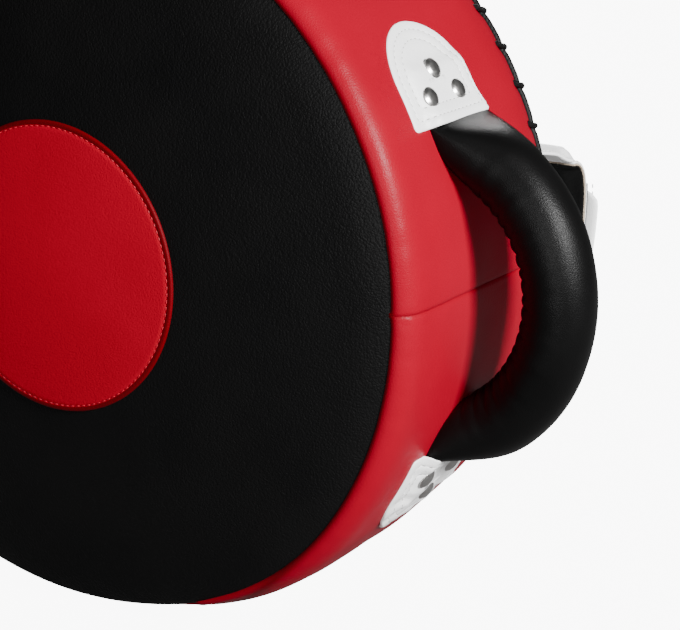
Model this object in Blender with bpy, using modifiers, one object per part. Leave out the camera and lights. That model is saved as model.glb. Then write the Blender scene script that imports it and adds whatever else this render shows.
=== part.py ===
"""Round punch shield: a laced leather drum full of foam, held by padded handles and a forearm strap.

The pad is modelled in its own frame, seen from the puncher's side: x to the right, y up, z towards
the puncher. The empty pad_frame turns that frame upright, so that the strike face looks along -Y.
The origin is the middle of the back panel, where the forearm lies.
"""

import math

import bmesh
import bpy
from mathutils import Matrix, Vector

MM = 0.001
GAP = 0.4 * MM

# The drum: the wall narrows a little towards the back
WALL_RADIUS = 180 * MM
REAR_RADIUS = 177.8 * MM
WALL_DEPTH = 132 * MM
TAPER_FRONT = 101 * MM
TAPER_REAR = 64 * MM
SEAM_RADIUS = 172 * MM
BACK_RADIUS = 168.5 * MM
FACE_CROWN = 18.5 * MM
CROWN_POWER = 2.4
LEATHER = 1.8 * MM
PATCH_RADIUS = 67.7 * MM
ROUND_STEPS = 40

# The foam stack, from the puncher backwards
CORE_FRONT = WALL_DEPTH - 30 * MM
CORE_REAR = 34 * MM
FOAM_REAR = 7.5 * MM
FOAM_SIDE = WALL_RADIUS - LEATHER - 3 * GAP
BOARD_RADIUS = 158 * MM

# Side handles: both tabs lie on the middle of the wall
HANDLE_LEVEL = WALL_DEPTH - 61 * MM
GRIP_RADIUS = 16.7 * MM
GRIP_REACH = 219.3 * MM
GRIP_BEND = 67 * MM
BEND_HALF_ANGLE = math.radians(50)
GRIP_CUT = 45 * MM
CUT_CLEARANCE = 1.0 * MM
HINGE_REACH = 172 * MM
TONGUE_HALF_WIDTH = 24.5 * MM
TONGUE_THICKNESS = 2.0 * MM
TONGUE_LENGTH = 31 * MM

# The webbing inside a grip, and the strip inside the wall that both tabs are riveted to
WEBBING_THICKNESS = 1.8 * MM
WEBBING_HALF_WIDTH = 10 * MM
BACKING_HALF_LENGTH = 112 * MM
BACKING_HALF_WIDTH = 20 * MM
POCKET_MARGIN = 4 * MM
POCKET_FLOOR, POCKET_ROOF = -9.5 * MM, 6 * MM

# White tabs, measured along the surface from the middle of the handle
TAB_START = 76 * MM
TAB_LENGTH = 49 * MM
TAB_HALF_WIDTH = 29.5 * MM
TAB_THICKNESS = 2.2 * MM
TAB_UNDERSIDE = TONGUE_THICKNESS + 2 * GAP

# Rivets: one cap, post and inner head each
CAP_RADIUS = 4.5 * MM
CAP_HEIGHT = 2.0 * MM
POST_RADIUS = 1.5 * MM
HEAD_RADIUS = 3.4 * MM
HEAD_HEIGHT = 1.1 * MM
HOLE_RADIUS = POST_RADIUS + 0.5 * MM
RIVET_SIDEWAYS = 12 * MM
RIVET_NEAR = 88.5 * MM
RIVET_FAR = 100.5 * MM

# Rear furniture
BACK_GRIP_X = -95 * MM
BACK_GRIP_REACH = 55 * MM
BACK_HINGE_REACH = 8 * MM
STRAP_X = 117.5 * MM
STRAP_HALF_WIDTH = 32.5 * MM
STRAP_LEATHER = 1.8 * MM
STRAP_FOAM = 5.6 * MM
STRAP_LINING = 1.2 * MM
FASTENER = 1.2 * MM
STRAP_RIVET = 62 * MM
STRAP_RIVET_SIDEWAYS = 15 * MM
STRAP_TAB_TIP = 86 * MM
STRAP_CURVE = 28 * MM
CLOSURE_HINGE_BEHIND = 5.5 * MM
CLOSURE_HINGE_HEIGHT = -44 * MM

# Side views of the straps' middle lines, in mm: (distance behind the panel, height)
FLAT = (GAP + STRAP_LEATHER / 2) / MM
COVER_PATH = (
    (FLAT, 86), (FLAT, 78), (FLAT, 64), (FLAT, 50), (5, 43.5), (15, 40.5), (34, 36), (54, 31.8), (66, 32),
    (75, 28), (80.5, 19), (82, 5), (80, -12), (75, -31),
)
CLOSURE_PATH = ((6.5, -43), (26, -42), (50, -40.5), (67, -38.5), (76, -35))
LOWER_TAB_PATH = ((FLAT, -86), (FLAT, -78), (FLAT, -64), (FLAT, -46))

# Lacing, between the wall's hem and the back panel
LACE_THICKNESS = 2.6 * MM
LACE_STITCHES = 56
LACE_SEAT = 170.6 * MM
LACE_REACH = 4.3 * MM

RED, BLACK, WHITE = (0.80, 0.004, 0.028), (0.012, 0.012, 0.013), (0.86, 0.86, 0.85)
GREY, FOAM = (0.10, 0.10, 0.11), (0.55, 0.55, 0.50)
NICKEL, WEBBING = (0.62, 0.61, 0.60), (0.05, 0.05, 0.05)


def clear_scene():
    for obj in list(bpy.data.objects):
        bpy.data.objects.remove(obj)


def collection(name):
    made = bpy.data.collections.new(name)
    bpy.context.scene.collection.children.link(made)
    return made


def material(name, colour, roughness, metallic=0.0):
    made = bpy.data.materials.new(name)
    made.use_nodes = True
    shader = made.node_tree.nodes["Principled BSDF"]
    shader.inputs["Base Color"].default_value = (*colour, 1)
    shader.inputs["Roughness"].default_value = roughness
    shader.inputs["Metallic"].default_value = metallic
    return made


def empty(name, location=(0, 0, 0), parent=None):
    made = bpy.data.objects.new(name, None)
    made.location = location
    made.parent = parent
    PAD.objects.link(made)
    return made


def add(name, bm, finish, holder):
    """Makes an object of a bmesh that is in pad coordinates, hung on the empty `holder`."""
    if holder is not PAD_FRAME:
        bmesh.ops.translate(bm, verts=bm.verts, vec=-Vector(holder.location))
    mesh = bpy.data.meshes.new(name)
    bm.to_mesh(mesh)
    bm.free()
    mesh.materials.append(finish)
    made = bpy.data.objects.new(name, mesh)
    made.parent = holder
    PAD.objects.link(made)
    return made


def solidify(obj, thickness, offset):
    shell = obj.modifiers.new("wall", "SOLIDIFY")
    shell.thickness = thickness
    shell.offset = offset
    shell.use_even_offset = True
    return obj


def cut(obj, cutter):
    boolean = obj.modifiers.new("cut", "BOOLEAN")
    boolean.operation = "DIFFERENCE"
    boolean.object = cutter
    return obj


def as_cutter(obj):
    PAD.objects.unlink(obj)
    CUTTERS.objects.link(obj)
    obj.hide_render = True
    obj.display_type = "WIRE"
    return obj


def turned(name, profile, finish, angle=math.tau, start=0.0, steps=ROUND_STEPS):
    """A shape turned about the pad's z axis from a profile of (radius, z), run down its outer side."""
    bm = bmesh.new()
    points = [bm.verts.new((radius, 0, z)) for radius, z in profile]
    for first, second in zip(points, points[1:]):
        bm.edges.new((first, second))
    made = add(name, bm, finish, PAD_FRAME)
    made.rotation_euler.z = start
    screw = made.modifiers.new("turn", "SCREW")
    screw.axis = "Z"
    screw.angle = angle
    screw.steps = screw.render_steps = steps
    screw.use_merge_vertices = True
    screw.merge_threshold = 0.0001
    screw.use_smooth_shade = True
    return made


def ribbon(name, place, rows, columns, thickness, finish, holder):
    """A strip of leather, webbing or foam: place(u, w) gives the point at u along it and w across it."""
    bm = bmesh.new()
    bmesh.ops.create_grid(bm, x_segments=rows, y_segments=columns, size=1)
    for vert in bm.verts:
        vert.co = place((vert.co.x + 1) / 2, vert.co.y)
    return solidify(add(name, bm, finish, holder), thickness, 0)


def loft(name, rings, finish, holder, capped=True):
    """A tube through rings of points, made by extruding the first ring from one to the next."""
    bm = bmesh.new()
    count = len(rings[0])
    ring = bmesh.ops.create_circle(bm, segments=count, radius=1)["verts"]
    for vert, point in zip(ring, rings[0]):
        vert.co = point
    edges = list(bm.edges)
    first_edges = edges
    for points in rings[1:]:
        grown = bmesh.ops.extrude_edge_only(bm, edges=edges)["geom"]
        edges = [item for item in grown if isinstance(item, bmesh.types.BMEdge) and item.is_boundary]
        ring = [new_end(vert, grown) for vert in ring]
        for vert, point in zip(ring, points):
            vert.co = point
    if capped:
        bmesh.ops.holes_fill(bm, edges=first_edges + edges, sides=count)
    bmesh.ops.recalc_face_normals(bm, faces=bm.faces)
    return add(name, bm, finish, holder)


def new_end(vert, grown):
    """The vertex that extruding made from `vert`."""
    new_verts = {item for item in grown if isinstance(item, bmesh.types.BMVert)}
    return next(edge.other_vert(vert) for edge in vert.link_edges if edge.other_vert(vert) in new_verts)


def smooth_path(points, per_span):
    """Points on one smooth curve through the given ones (a Catmull-Rom spline)."""
    knots = [Vector(point) for point in points]
    knots = [2 * knots[0] - knots[1], *knots, 2 * knots[-1] - knots[-2]]
    made = []
    for before, start, end, after in zip(knots, knots[1:], knots[2:], knots[3:]):
        for step in range(per_span):
            t = step / per_span
            made.append(
                0.5 * (2 * start + (end - before) * t + (2 * before - 5 * start + 4 * end - after) * t**2
                       + (3 * start - before - 3 * end + after) * t**3)
            )
    return [*made, knots[-2]]


def ease(t):
    t = min(max(t, 0.0), 1.0)
    return t * t * (3 - 2 * t)


# ---- the drum -------------------------------------------------------------------------------------


def face_height(radius):
    return WALL_DEPTH + FACE_CROWN * (1 - (radius / SEAM_RADIUS) ** CROWN_POWER)


def face_profile(outer_radius, drop, points):
    return [
        (radius, face_height(radius) - drop)
        for radius in [outer_radius * index / points for index in range(points + 1)]
    ]


def sheet_profile(top, thickness):
    """A closed profile of a sheet whose outer face is `top`, from the axis outwards."""
    return [*top, *[(radius, z - thickness) for radius, z in reversed(top)]]


def wall_radius(z):
    """The radius of the wall's straight part, which narrows between the two taper levels."""
    share = min(max((z - TAPER_REAR) / (TAPER_FRONT - TAPER_REAR), 0.0), 1.0)
    return REAR_RADIUS + (WALL_RADIUS - REAR_RADIUS) * share


def wall_profile():
    """The wall from the front seam, round its shoulder, along its slight taper, to the laced hem."""
    shoulder, hem = 9 * MM, 13 * MM
    points = [(SEAM_RADIUS, WALL_DEPTH - GAP)]
    for angle in (math.radians(degrees) for degrees in (50, 0)):
        inset, drop = shoulder * (1 - math.cos(angle)), shoulder * (1 - math.sin(angle))
        points.append((WALL_RADIUS - inset, WALL_DEPTH - GAP - drop))
    points += [(WALL_RADIUS, TAPER_FRONT), (REAR_RADIUS, TAPER_REAR)]
    for angle in (math.radians(degrees) for degrees in (0, 55)):
        inset, drop = hem * (1 - math.cos(angle)), hem * math.sin(angle)
        points.append((REAR_RADIUS - inset, 12 * MM - drop))
    return points


def build_drum():
    face_top = face_profile(SEAM_RADIUS - MM, 0, 4)
    turned("front_panel", sheet_profile(face_top, LEATHER), BLACK_LEATHER)
    patch_top = face_profile(PATCH_RADIUS, -LEATHER, 2)
    turned("target_patch", sheet_profile(patch_top, LEATHER - GAP), RED_LEATHER)
    seam_gap = GAP / WALL_RADIUS
    for name, start in (("wall_upper", 0.0), ("wall_lower", math.pi)):
        half = turned(name, wall_profile(), RED_LEATHER, math.pi - seam_gap, start + seam_gap / 2,
                      ROUND_STEPS // 2)
        solidify(half, LEATHER, -1)
        cut(half, SIDE_HOLES)
    back = [(0, LEATHER), (BACK_RADIUS, LEATHER), (BACK_RADIUS, 0), (0, 0)]
    cut(turned("back_panel", back, BLACK_LEATHER), REAR_HOLES)
    rear = LEATHER + GAP
    board = [(0, rear + LEATHER), (BOARD_RADIUS, rear + LEATHER), (BOARD_RADIUS, rear), (0, rear)]
    cut(turned("rear_backing_board", board, GREY_BOARD), REAR_HOLES)


def build_foam():
    """Three layers, each a little smaller than the leather round it."""
    front = face_profile(SEAM_RADIUS - 17 * MM, LEATHER + 2 * GAP, 3)
    edge = [(SEAM_RADIUS - 4 * MM, WALL_DEPTH - 4 * MM), (SEAM_RADIUS + 4 * MM, WALL_DEPTH - 12 * MM)]
    turned("strike_foam", [*front, *edge, (FOAM_SIDE - MM, CORE_FRONT), (0, CORE_FRONT)], FOAM_SHEET)
    core = turned("core_foam", [(0, CORE_FRONT - GAP), (FOAM_SIDE - MM, CORE_FRONT - GAP),
                                (FOAM_SIDE - 3 * MM, CORE_REAR), (0, CORE_REAR)], FOAM_SHEET)
    cut(core, foam_pocket("right_pocket", 1))
    cut(core, foam_pocket("left_pocket", -1))
    turned("rear_foam", [(0, CORE_REAR - GAP), (FOAM_SIDE - 4 * MM, CORE_REAR - GAP),
                         (FOAM_SIDE - 5 * MM, CORE_REAR - 16 * MM), (FOAM_SIDE - 13 * MM, FOAM_REAR),
                         (0, FOAM_REAR)], FOAM_SHEET)


def build_lace():
    """One cord round the hem, which reaches out over the wall's edge at every stitch."""
    curve = bpy.data.curves.new("rear_lace", "CURVE")
    curve.dimensions = "3D"
    curve.bevel_depth = LACE_THICKNESS / 2
    curve.bevel_resolution = 0
    spline = curve.splines.new("POLY")
    level = -0.6 * MM
    stitch = ((0.0, 0.0, 0.0), (0.8, LACE_REACH, 0.7 * MM))
    spline.points.add(LACE_STITCHES * len(stitch) - 1)
    for index, point in enumerate(spline.points):
        share, out, rise = stitch[index % len(stitch)]
        angle = math.tau * (index // len(stitch) + share) / LACE_STITCHES
        radius = LACE_SEAT + out
        point.co = (radius * math.cos(angle), radius * math.sin(angle), level + rise, 1)
    spline.use_cyclic_u = True
    curve.materials.append(BLACK_CORD)
    made = bpy.data.objects.new("rear_lace", curve)
    made.parent = PAD_FRAME
    PAD.objects.link(made)


# ---- surfaces that tabs and rivets sit on ---------------------------------------------------------


def on_wall(side):
    """Places (along, across, height) on the wall: along is arc length up from the side's middle."""

    def place(along, across, height):
        angle = along / WALL_RADIUS
        level = HANDLE_LEVEL + across
        reach = wall_radius(level) + height
        return Vector((side * reach * math.cos(angle), reach * math.sin(angle), level))

    return place


def on_back(x):
    def place(along, across, height):
        return Vector((x + across, along, -height))

    return place


def build_tab(name, place, way, holes):
    """A round-ended leather tab on the handle's tongue. way is 1 above the handle and -1 below it."""
    straight = TAB_START + TAB_LENGTH - TAB_HALF_WIDTH

    def spot(u, w):
        along = TAB_START + TAB_LENGTH * (1 - (1 - u) ** 1.5)
        beyond = max(0.0, along - straight) / TAB_HALF_WIDTH
        half = TAB_HALF_WIDTH * max(math.sqrt(max(0.0, 1 - beyond**2)), 0.2)
        return place(way * along, w * half, TAB_UNDERSIDE + TAB_THICKNESS / 2)

    return cut(ribbon(name, spot, 6, 4, TAB_THICKNESS, WHITE_LEATHER, PAD_FRAME), holes)


def rivet_spots(place, way):
    """(centre, outward) of the three rivets of one tab."""
    plan = ((RIVET_NEAR, -RIVET_SIDEWAYS), (RIVET_NEAR, RIVET_SIDEWAYS), (RIVET_FAR, 0.0))
    spots = []
    for along, across in plan:
        foot = place(way * along, across, 0.0)
        spots.append((foot, (place(way * along, across, MM) - foot).normalized()))
    return spots


def turn_to(axis):
    return Vector((0, 0, 1)).rotation_difference(axis).to_matrix().to_4x4()


def build_rivet(name, foot, outward, seat, depth):
    """A domed cap on the leather, its post, and the head that is set inside, `depth` below the foot."""
    under = seat + GAP
    profile = [
        (0, seat + CAP_HEIGHT), (CAP_RADIUS * 0.62, seat + CAP_HEIGHT * 0.78), (CAP_RADIUS, under),
        (POST_RADIUS, under), (POST_RADIUS, -depth), (HEAD_RADIUS, -depth), (0, -depth - HEAD_HEIGHT),
    ]
    made = turned(name, profile, NICKEL_PLATE, steps=8)
    made.matrix_local = Matrix.Translation(foot) @ turn_to(outward)
    return made


def hole_cutter(name, spots, length):
    bm = bmesh.new()
    for foot, outward in spots:
        bmesh.ops.create_cone(
            bm, cap_ends=True, segments=6, radius1=HOLE_RADIUS, radius2=HOLE_RADIUS, depth=length,
            matrix=Matrix.Translation(foot) @ turn_to(outward),
        )
    return as_cutter(add(name, bm, CUT_MARK, PAD_FRAME))


def build_side_backing(name, side):
    """A strip inside the wall that spreads the pull of both tabs' rivets."""
    place = on_wall(side)
    depth = LEATHER + 4 * GAP + LEATHER / 2

    def spot(u, w):
        return place((2 * u - 1) * BACKING_HALF_LENGTH, w * BACKING_HALF_WIDTH, -depth)

    return cut(ribbon(name, spot, 12, 1, LEATHER, WEBBING_BLACK, PAD_FRAME), SIDE_HOLES)


def foam_pocket(name, side):
    """Room in the core foam for a backing strip and the rivets' inner heads."""
    place = on_wall(side)
    half_length = BACKING_HALF_LENGTH + POCKET_MARGIN
    half_width = BACKING_HALF_WIDTH + POCKET_MARGIN / 2

    def spot(u, w):
        return place((2 * u - 1) * half_length, w * half_width, (POCKET_FLOOR + POCKET_ROOF) / 2)

    return as_cutter(ribbon(name, spot, 12, 1, POCKET_ROOF - POCKET_FLOOR, CUT_MARK, PAD_FRAME))


# ---- padded handles -------------------------------------------------------------------------------


def grip_rings(line_at, angles, radius, sides, cross):
    """Rings round the bent grip. The end rings are sheared into the level cut planes."""
    rings = []
    for angle in angles:
        centre, along, outward = line_at(angle)
        share = abs(angle) / abs(angles[0])
        flat = ease((share - 0.6) / 0.4)
        ring = []
        for index in range(sides):
            turn = math.tau * index / sides
            offset = radius * (math.cos(turn) * outward + math.sin(turn) * cross)
            shift = -offset.y / along.y * flat
            ring.append(centre + offset + shift * along)
        rings.append(ring)
    return rings


def bend_line(to_pad, reach):
    """The grip's centreline, by angle round its bend: (centre, along, outward) in pad coordinates."""
    middle = reach - GRIP_BEND

    def at(angle):
        centre = to_pad(middle + GRIP_BEND * math.cos(angle), GRIP_BEND * math.sin(angle))
        tip = to_pad(middle + (GRIP_BEND + MM) * math.cos(angle), (GRIP_BEND + MM) * math.sin(angle))
        outward = (tip - centre).normalized()
        ahead = to_pad(middle + GRIP_BEND * math.cos(angle + 0.01), GRIP_BEND * math.sin(angle + 0.01))
        return centre, (ahead - centre).normalized(), outward

    return at


def bezier(controls, t):
    """The point and the unit direction at t on a cubic through four control points."""
    a, b, c, d = controls
    point = (1 - t) ** 3 * a + 3 * (1 - t) ** 2 * t * b + 3 * (1 - t) * t**2 * c + t**3 * d
    ahead = (1 - t) ** 2 * (b - a) + 2 * (1 - t) * t * (c - b) + t**2 * (d - c)
    return point, ahead.normalized()


# A grip's end as it flattens: (share of the way down, half thickness mm, half width mm, how level it is)
END_SECTIONS = ((0.12, 15.6, 17, 0.25), (0.36, 11.6, 19, 0), (0.6, 7.2, 22, 0), (0.82, 2.5, 24, 0))


def end_rings(line_at, place, way, cross, sides):
    """From the level cut, where the sleeve is round, down to the flat tongue under the tab."""
    turns = [math.tau * index / sides for index in range(sides)]
    start, along, outward = line_at(way * math.asin(GRIP_CUT / GRIP_BEND))
    level = []
    for turn in turns:
        offset = GRIP_RADIUS * (math.cos(turn) * outward + math.sin(turn) * cross)
        level.append(start + offset - offset.y / along.y * along)
    rings = [level]
    bend_end, bend_along, _ = line_at(way * BEND_HALF_ANGLE)
    middle = GAP + TONGUE_THICKNESS / 2
    foot_reach = TAB_START - MM
    foot = place(way * foot_reach, 0, middle)
    foot_along = (place(way * TAB_START, 0, middle) - foot).normalized()
    pull = (foot - bend_end).length / 2.6
    controls = (bend_end, bend_end + way * bend_along * pull, foot - foot_along * pull, foot)
    for t, half_thickness, half_width, levelled in END_SECTIONS:
        centre, ahead = bezier(controls, t)
        out = ahead.cross(cross).normalized()
        if out.dot(outward) < 0:
            out = -out
        ring = []
        for turn in turns:
            across = half_width * MM * math.sin(turn)
            lean = place(way * foot_reach, across, 0) - place(way * foot_reach, 0, 0) - across * cross
            outward_part = half_thickness * MM * math.cos(turn) * out
            shear = -levelled * outward_part.y / ahead.y * ahead
            point = centre + outward_part + shear + across * cross + ease(t) * lean
            point.y = way * max(way * point.y, GRIP_CUT + MM)
            ring.append(point)
        rings.append(ring)
    for step in range(4):
        reach = way * (foot_reach + TONGUE_LENGTH * step / 3)
        half_width = TONGUE_HALF_WIDTH - step * MM
        rings.append([
            place(reach, half_width * math.sin(turn), middle + TONGUE_THICKNESS / 2 * math.cos(turn))
            for turn in turns
        ])
    return rings


def build_handle(name, to_pad, place, cross, reach, holder, holes):
    """Sleeve, foam and webbing between the level cuts, and a flattened end beyond each cut."""
    line_at = bend_line(to_pad, reach)
    half_angle = math.asin((GRIP_CUT - CUT_CLEARANCE) / GRIP_BEND)
    angles = [half_angle * (2 * index / 6 - 1) for index in range(7)]
    sleeve_rings = grip_rings(line_at, angles, GRIP_RADIUS - LEATHER / 2, 10, cross)
    solidify(loft(name + "_sleeve", sleeve_rings, BLACK_LEATHER, holder, capped=False), LEATHER, 0)
    foam_rings = grip_rings(line_at, angles, GRIP_RADIUS - LEATHER - 1.5 * GAP, 10, cross)
    foam = loft(name + "_foam", foam_rings, FOAM_SHEET, holder)

    def band(half_width, stretch):
        return lambda u, w: line_at(stretch * half_angle * (2 * u - 1))[0] + w * half_width * cross

    room = band(WEBBING_HALF_WIDTH + 2.5 * GAP, 1.3)
    slot = ribbon(name + "_slot", room, 8, 1, WEBBING_THICKNESS + 2.5 * GAP, CUT_MARK, holder)
    cut(foam, as_cutter(slot))
    core = band(WEBBING_HALF_WIDTH, 0.97)
    ribbon(name + "_webbing", core, 6, 1, WEBBING_THICKNESS, WEBBING_BLACK, holder)
    for part, way in (("upper", 1), ("lower", -1)):
        end = loft(f"{name}_{part}_end", end_rings(line_at, place, way, cross, 10), BLACK_LEATHER, PAD_FRAME)
        cut(end, holes)


def build_side_handle(name, side):
    place = on_wall(side)
    holder = empty(name + "_axis", (side * HINGE_REACH, 0, HANDLE_LEVEL), PAD_FRAME)

    def to_pad(out, along):
        return Vector((side * out, along, HANDLE_LEVEL))

    build_handle(name, to_pad, place, Vector((0, 0, 1)), GRIP_REACH, holder, SIDE_HOLES)
    build_side_backing(name + "_backing", side)
    for part, way in (("upper", 1), ("lower", -1)):
        build_tab(f"{name}_{part}_tab", place, way, SIDE_HOLES)
        for number, (foot, outward) in enumerate(rivet_spots(place, way), 1):
            build_rivet(f"{name}_{part}_rivet_{number}", foot, outward, TAB_UNDERSIDE + TAB_THICKNESS,
                        2 * LEATHER + 6.5 * GAP)


def build_back_grip():
    place = on_back(BACK_GRIP_X)
    holder = empty("back_grip_axis", (BACK_GRIP_X, 0, -BACK_HINGE_REACH), PAD_FRAME)

    def to_pad(out, along):
        return Vector((BACK_GRIP_X, along, -out))

    build_handle("back_grip", to_pad, place, Vector((1, 0, 0)), BACK_GRIP_REACH, holder, REAR_HOLES)
    for part, way in (("upper", 1), ("lower", -1)):
        build_tab(f"back_grip_{part}_tab", place, way, REAR_HOLES)
        for number, (foot, outward) in enumerate(rivet_spots(place, way)[:2], 1):
            build_rivet(f"back_grip_{part}_rivet_{number}", foot, outward, TAB_UNDERSIDE + TAB_THICKNESS,
                        2 * LEATHER + 2 * GAP)


# ---- forearm strap --------------------------------------------------------------------------------


def strap_spots(way):
    outward = Vector((0, 0, -1))
    sideways = STRAP_RIVET_SIDEWAYS
    return [(Vector((STRAP_X + side * sideways, way * STRAP_RIVET, 0)), outward) for side in (-1, 1)]


def strap_ribbon(name, path, thickness, finish, holder, half_width=STRAP_HALF_WIDTH, rounded=0):
    """A band across the strap's width. path is (distance behind the panel, height), at mid-thickness."""

    def spot(u, w):
        place = u * (len(path) - 1)
        index = min(int(place), len(path) - 2)
        behind, height = Vector(path[index]).lerp(Vector(path[index + 1]), place - index)
        narrow = 1.0
        if rounded:
            beyond = max(0.0, abs(height) - (STRAP_TAB_TIP - rounded)) / rounded
            narrow = max(math.sqrt(max(0.0, 1 - beyond**2)), 0.25)
        return Vector((STRAP_X + w * half_width * narrow, height, -behind))

    return ribbon(name, spot, len(path) - 1, 2, thickness, finish, holder)


def path_mm(points):
    return [point * MM for point in smooth_path(points, 2)]


def beside(path, distance):
    """The path moved sideways, away from the forearm where distance is positive."""
    moved = []
    for index, point in enumerate(path):
        ahead = (path[min(index + 1, len(path) - 1)] - path[max(index - 1, 0)]).normalized()
        moved.append(point + distance * Vector((-ahead.y, ahead.x)))
    return moved


def build_forearm_strap():
    holder = empty("closure_axis", (STRAP_X, CLOSURE_HINGE_HEIGHT, -CLOSURE_HINGE_BEHIND), PAD_FRAME)
    cover = path_mm(COVER_PATH)
    strap = strap_ribbon("forearm_strap_cover", cover, STRAP_LEATHER, WHITE_LEATHER, PAD_FRAME,
                         rounded=STRAP_CURVE)
    cut(strap, REAR_HOLES)
    padded, fastened = 15, -5
    to_foam = STRAP_LEATHER / 2 + GAP + STRAP_FOAM / 2
    to_lining = to_foam + STRAP_FOAM / 2 + GAP + STRAP_LINING / 2
    to_loop = STRAP_LEATHER / 2 + GAP + FASTENER / 2
    to_hook = to_loop + GAP + FASTENER
    to_closure = to_hook + FASTENER / 2 + GAP + STRAP_LEATHER / 2
    foam = beside(cover, -to_foam)[padded:]
    strap_ribbon("forearm_strap_foam", foam, STRAP_FOAM, FOAM_SHEET, PAD_FRAME, STRAP_HALF_WIDTH - 2 * MM)
    lining = beside(cover, -to_lining)[padded:]
    strap_ribbon("forearm_strap_lining", lining, STRAP_LINING, BLACK_LEATHER, PAD_FRAME)
    loop, hook = beside(cover, to_loop)[fastened:], beside(cover, to_hook)[fastened:]
    strap_ribbon("loop_fastener", loop, FASTENER, WEBBING_BLACK, PAD_FRAME, STRAP_HALF_WIDTH - 5 * MM)
    strap_ribbon("hook_fastener", hook, FASTENER, WEBBING_BLACK, holder, STRAP_HALF_WIDTH - 5 * MM)
    closure = path_mm(CLOSURE_PATH)
    closure += list(reversed(beside(cover, to_closure)[fastened:]))
    strap_ribbon("closure_strap", closure, STRAP_LEATHER, WHITE_LEATHER, holder)
    tab = path_mm(LOWER_TAB_PATH)
    lower = strap_ribbon("closure_strap_tab", tab, STRAP_LEATHER, WHITE_LEATHER, PAD_FRAME,
                         rounded=STRAP_CURVE)
    cut(lower, REAR_HOLES)
    for part, way in (("upper", 1), ("lower", -1)):
        for number, (foot, outward) in enumerate(strap_spots(way), 1):
            build_rivet(f"forearm_strap_{part}_rivet_{number}", foot, outward, STRAP_LEATHER + GAP,
                        2 * LEATHER + 2 * GAP)


clear_scene()
PAD = collection("punch_shield")
CUTTERS = collection("cutters")
RED_LEATHER = material("red_leather", RED, 0.42)
BLACK_LEATHER = material("black_leather", BLACK, 0.42)
WHITE_LEATHER = material("white_leather", WHITE, 0.45)
GREY_BOARD = material("grey_board", GREY, 0.7)
FOAM_SHEET = material("foam", FOAM, 0.9)
WEBBING_BLACK = material("black_webbing", WEBBING, 0.8)
BLACK_CORD = material("black_cord", BLACK, 0.5)
NICKEL_PLATE = material("nickel_plate", NICKEL, 0.22, 1.0)
CUT_MARK = material("cut_mark", GREY, 0.5)

PAD_FRAME = empty("pad_frame")
PAD_FRAME.rotation_euler.x = math.pi / 2

SIDE_HOLES = hole_cutter(
    "side_rivet_holes",
    [spot for side in (1, -1) for way in (1, -1) for spot in rivet_spots(on_wall(side), way)],
    30 * MM,
)
REAR_HOLES = hole_cutter(
    "rear_rivet_holes",
    [spot for way in (1, -1) for spot in [*rivet_spots(on_back(BACK_GRIP_X), way)[:2], *strap_spots(way)]],
    16 * MM,
)

build_drum()
build_foam()
build_lace()
build_side_handle("right_handle", 1)
build_side_handle("left_handle", -1)
build_back_grip()
build_forearm_strap()
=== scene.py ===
# %% [markdown]
# # A round punch shield
# A punch shield is a leather drum full of foam. The puncher sees the crowned black face with its red
# target, the holder carries it by the padded handles on the wall, and the back carries a hand grip and a
# forearm strap. The solid model comes in as a fixed frame, and each visible piece is sewn over it here.

# %% Load the frame
import math

import bmesh
import bpy
from mathutils import Matrix, Vector, noise


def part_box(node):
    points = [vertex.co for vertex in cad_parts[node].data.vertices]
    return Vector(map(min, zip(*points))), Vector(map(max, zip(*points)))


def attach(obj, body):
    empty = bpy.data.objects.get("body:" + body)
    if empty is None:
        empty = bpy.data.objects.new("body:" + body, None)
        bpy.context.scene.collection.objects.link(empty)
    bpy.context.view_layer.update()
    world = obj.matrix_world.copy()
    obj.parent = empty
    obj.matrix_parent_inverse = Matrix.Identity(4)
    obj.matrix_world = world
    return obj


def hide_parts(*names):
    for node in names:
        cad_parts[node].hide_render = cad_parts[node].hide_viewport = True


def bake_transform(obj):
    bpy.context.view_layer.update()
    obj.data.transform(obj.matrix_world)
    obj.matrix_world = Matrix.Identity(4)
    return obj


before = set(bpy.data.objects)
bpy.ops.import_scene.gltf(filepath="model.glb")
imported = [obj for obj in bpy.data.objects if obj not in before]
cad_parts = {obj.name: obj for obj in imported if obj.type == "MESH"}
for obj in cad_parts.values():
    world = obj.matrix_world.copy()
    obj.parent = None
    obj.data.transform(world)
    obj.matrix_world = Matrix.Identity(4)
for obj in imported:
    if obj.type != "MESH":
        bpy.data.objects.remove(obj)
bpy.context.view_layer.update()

MM = 0.001

# %% [markdown]
# ## One frame for the drum
# A drum is easiest to shape lying down, with x to the right, y up and z towards the puncher, because its
# outlines are then plain circles about z. One matrix stands the finished mesh up. The driving sizes come
# from the frame, so the leather fits the solids.

# %% The drum's frame and its driving sizes
STAND_UP = Matrix.Rotation(math.pi / 2, 4, "X")
WALL_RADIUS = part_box("wall_upper")[1].x
SEAM_LEVEL = -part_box("wall_upper")[0].y
HANDLE_LEVEL = -sum(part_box("right_handle_sleeve")[end].y for end in (0, 1)) / 2
CROWN = -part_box("front_panel")[0].y - SEAM_LEVEL
PATCH_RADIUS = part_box("target_patch")[1].x
STRAP_MIDDLE = sum(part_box("forearm_strap_cover")[end].x for end in (0, 1)) / 2
GRIP_MIDDLE = sum(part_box("back_grip_sleeve")[end].x for end in (0, 1)) / 2
TONGUE = 2.4 * MM
print(f"wall radius {WALL_RADIUS / MM:.1f} mm, seam {SEAM_LEVEL / MM:.1f} mm in front of the back panel")

# %% [markdown]
# ## Ways to make a mesh
# Most of this object is sheet: leather, webbing, tape. A sheet is a grid whose vertices are moved to where
# a function of two shares, along and across, puts them. A grid that closes on itself is a tube. The grid
# keeps its UV map, which the threads and cords need for their twist.


# %% A grid moved into place, and a finished piece
def ease(t):
    t = min(max(t, 0.0), 1.0)
    return t * t * (3 - 2 * t)


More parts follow.
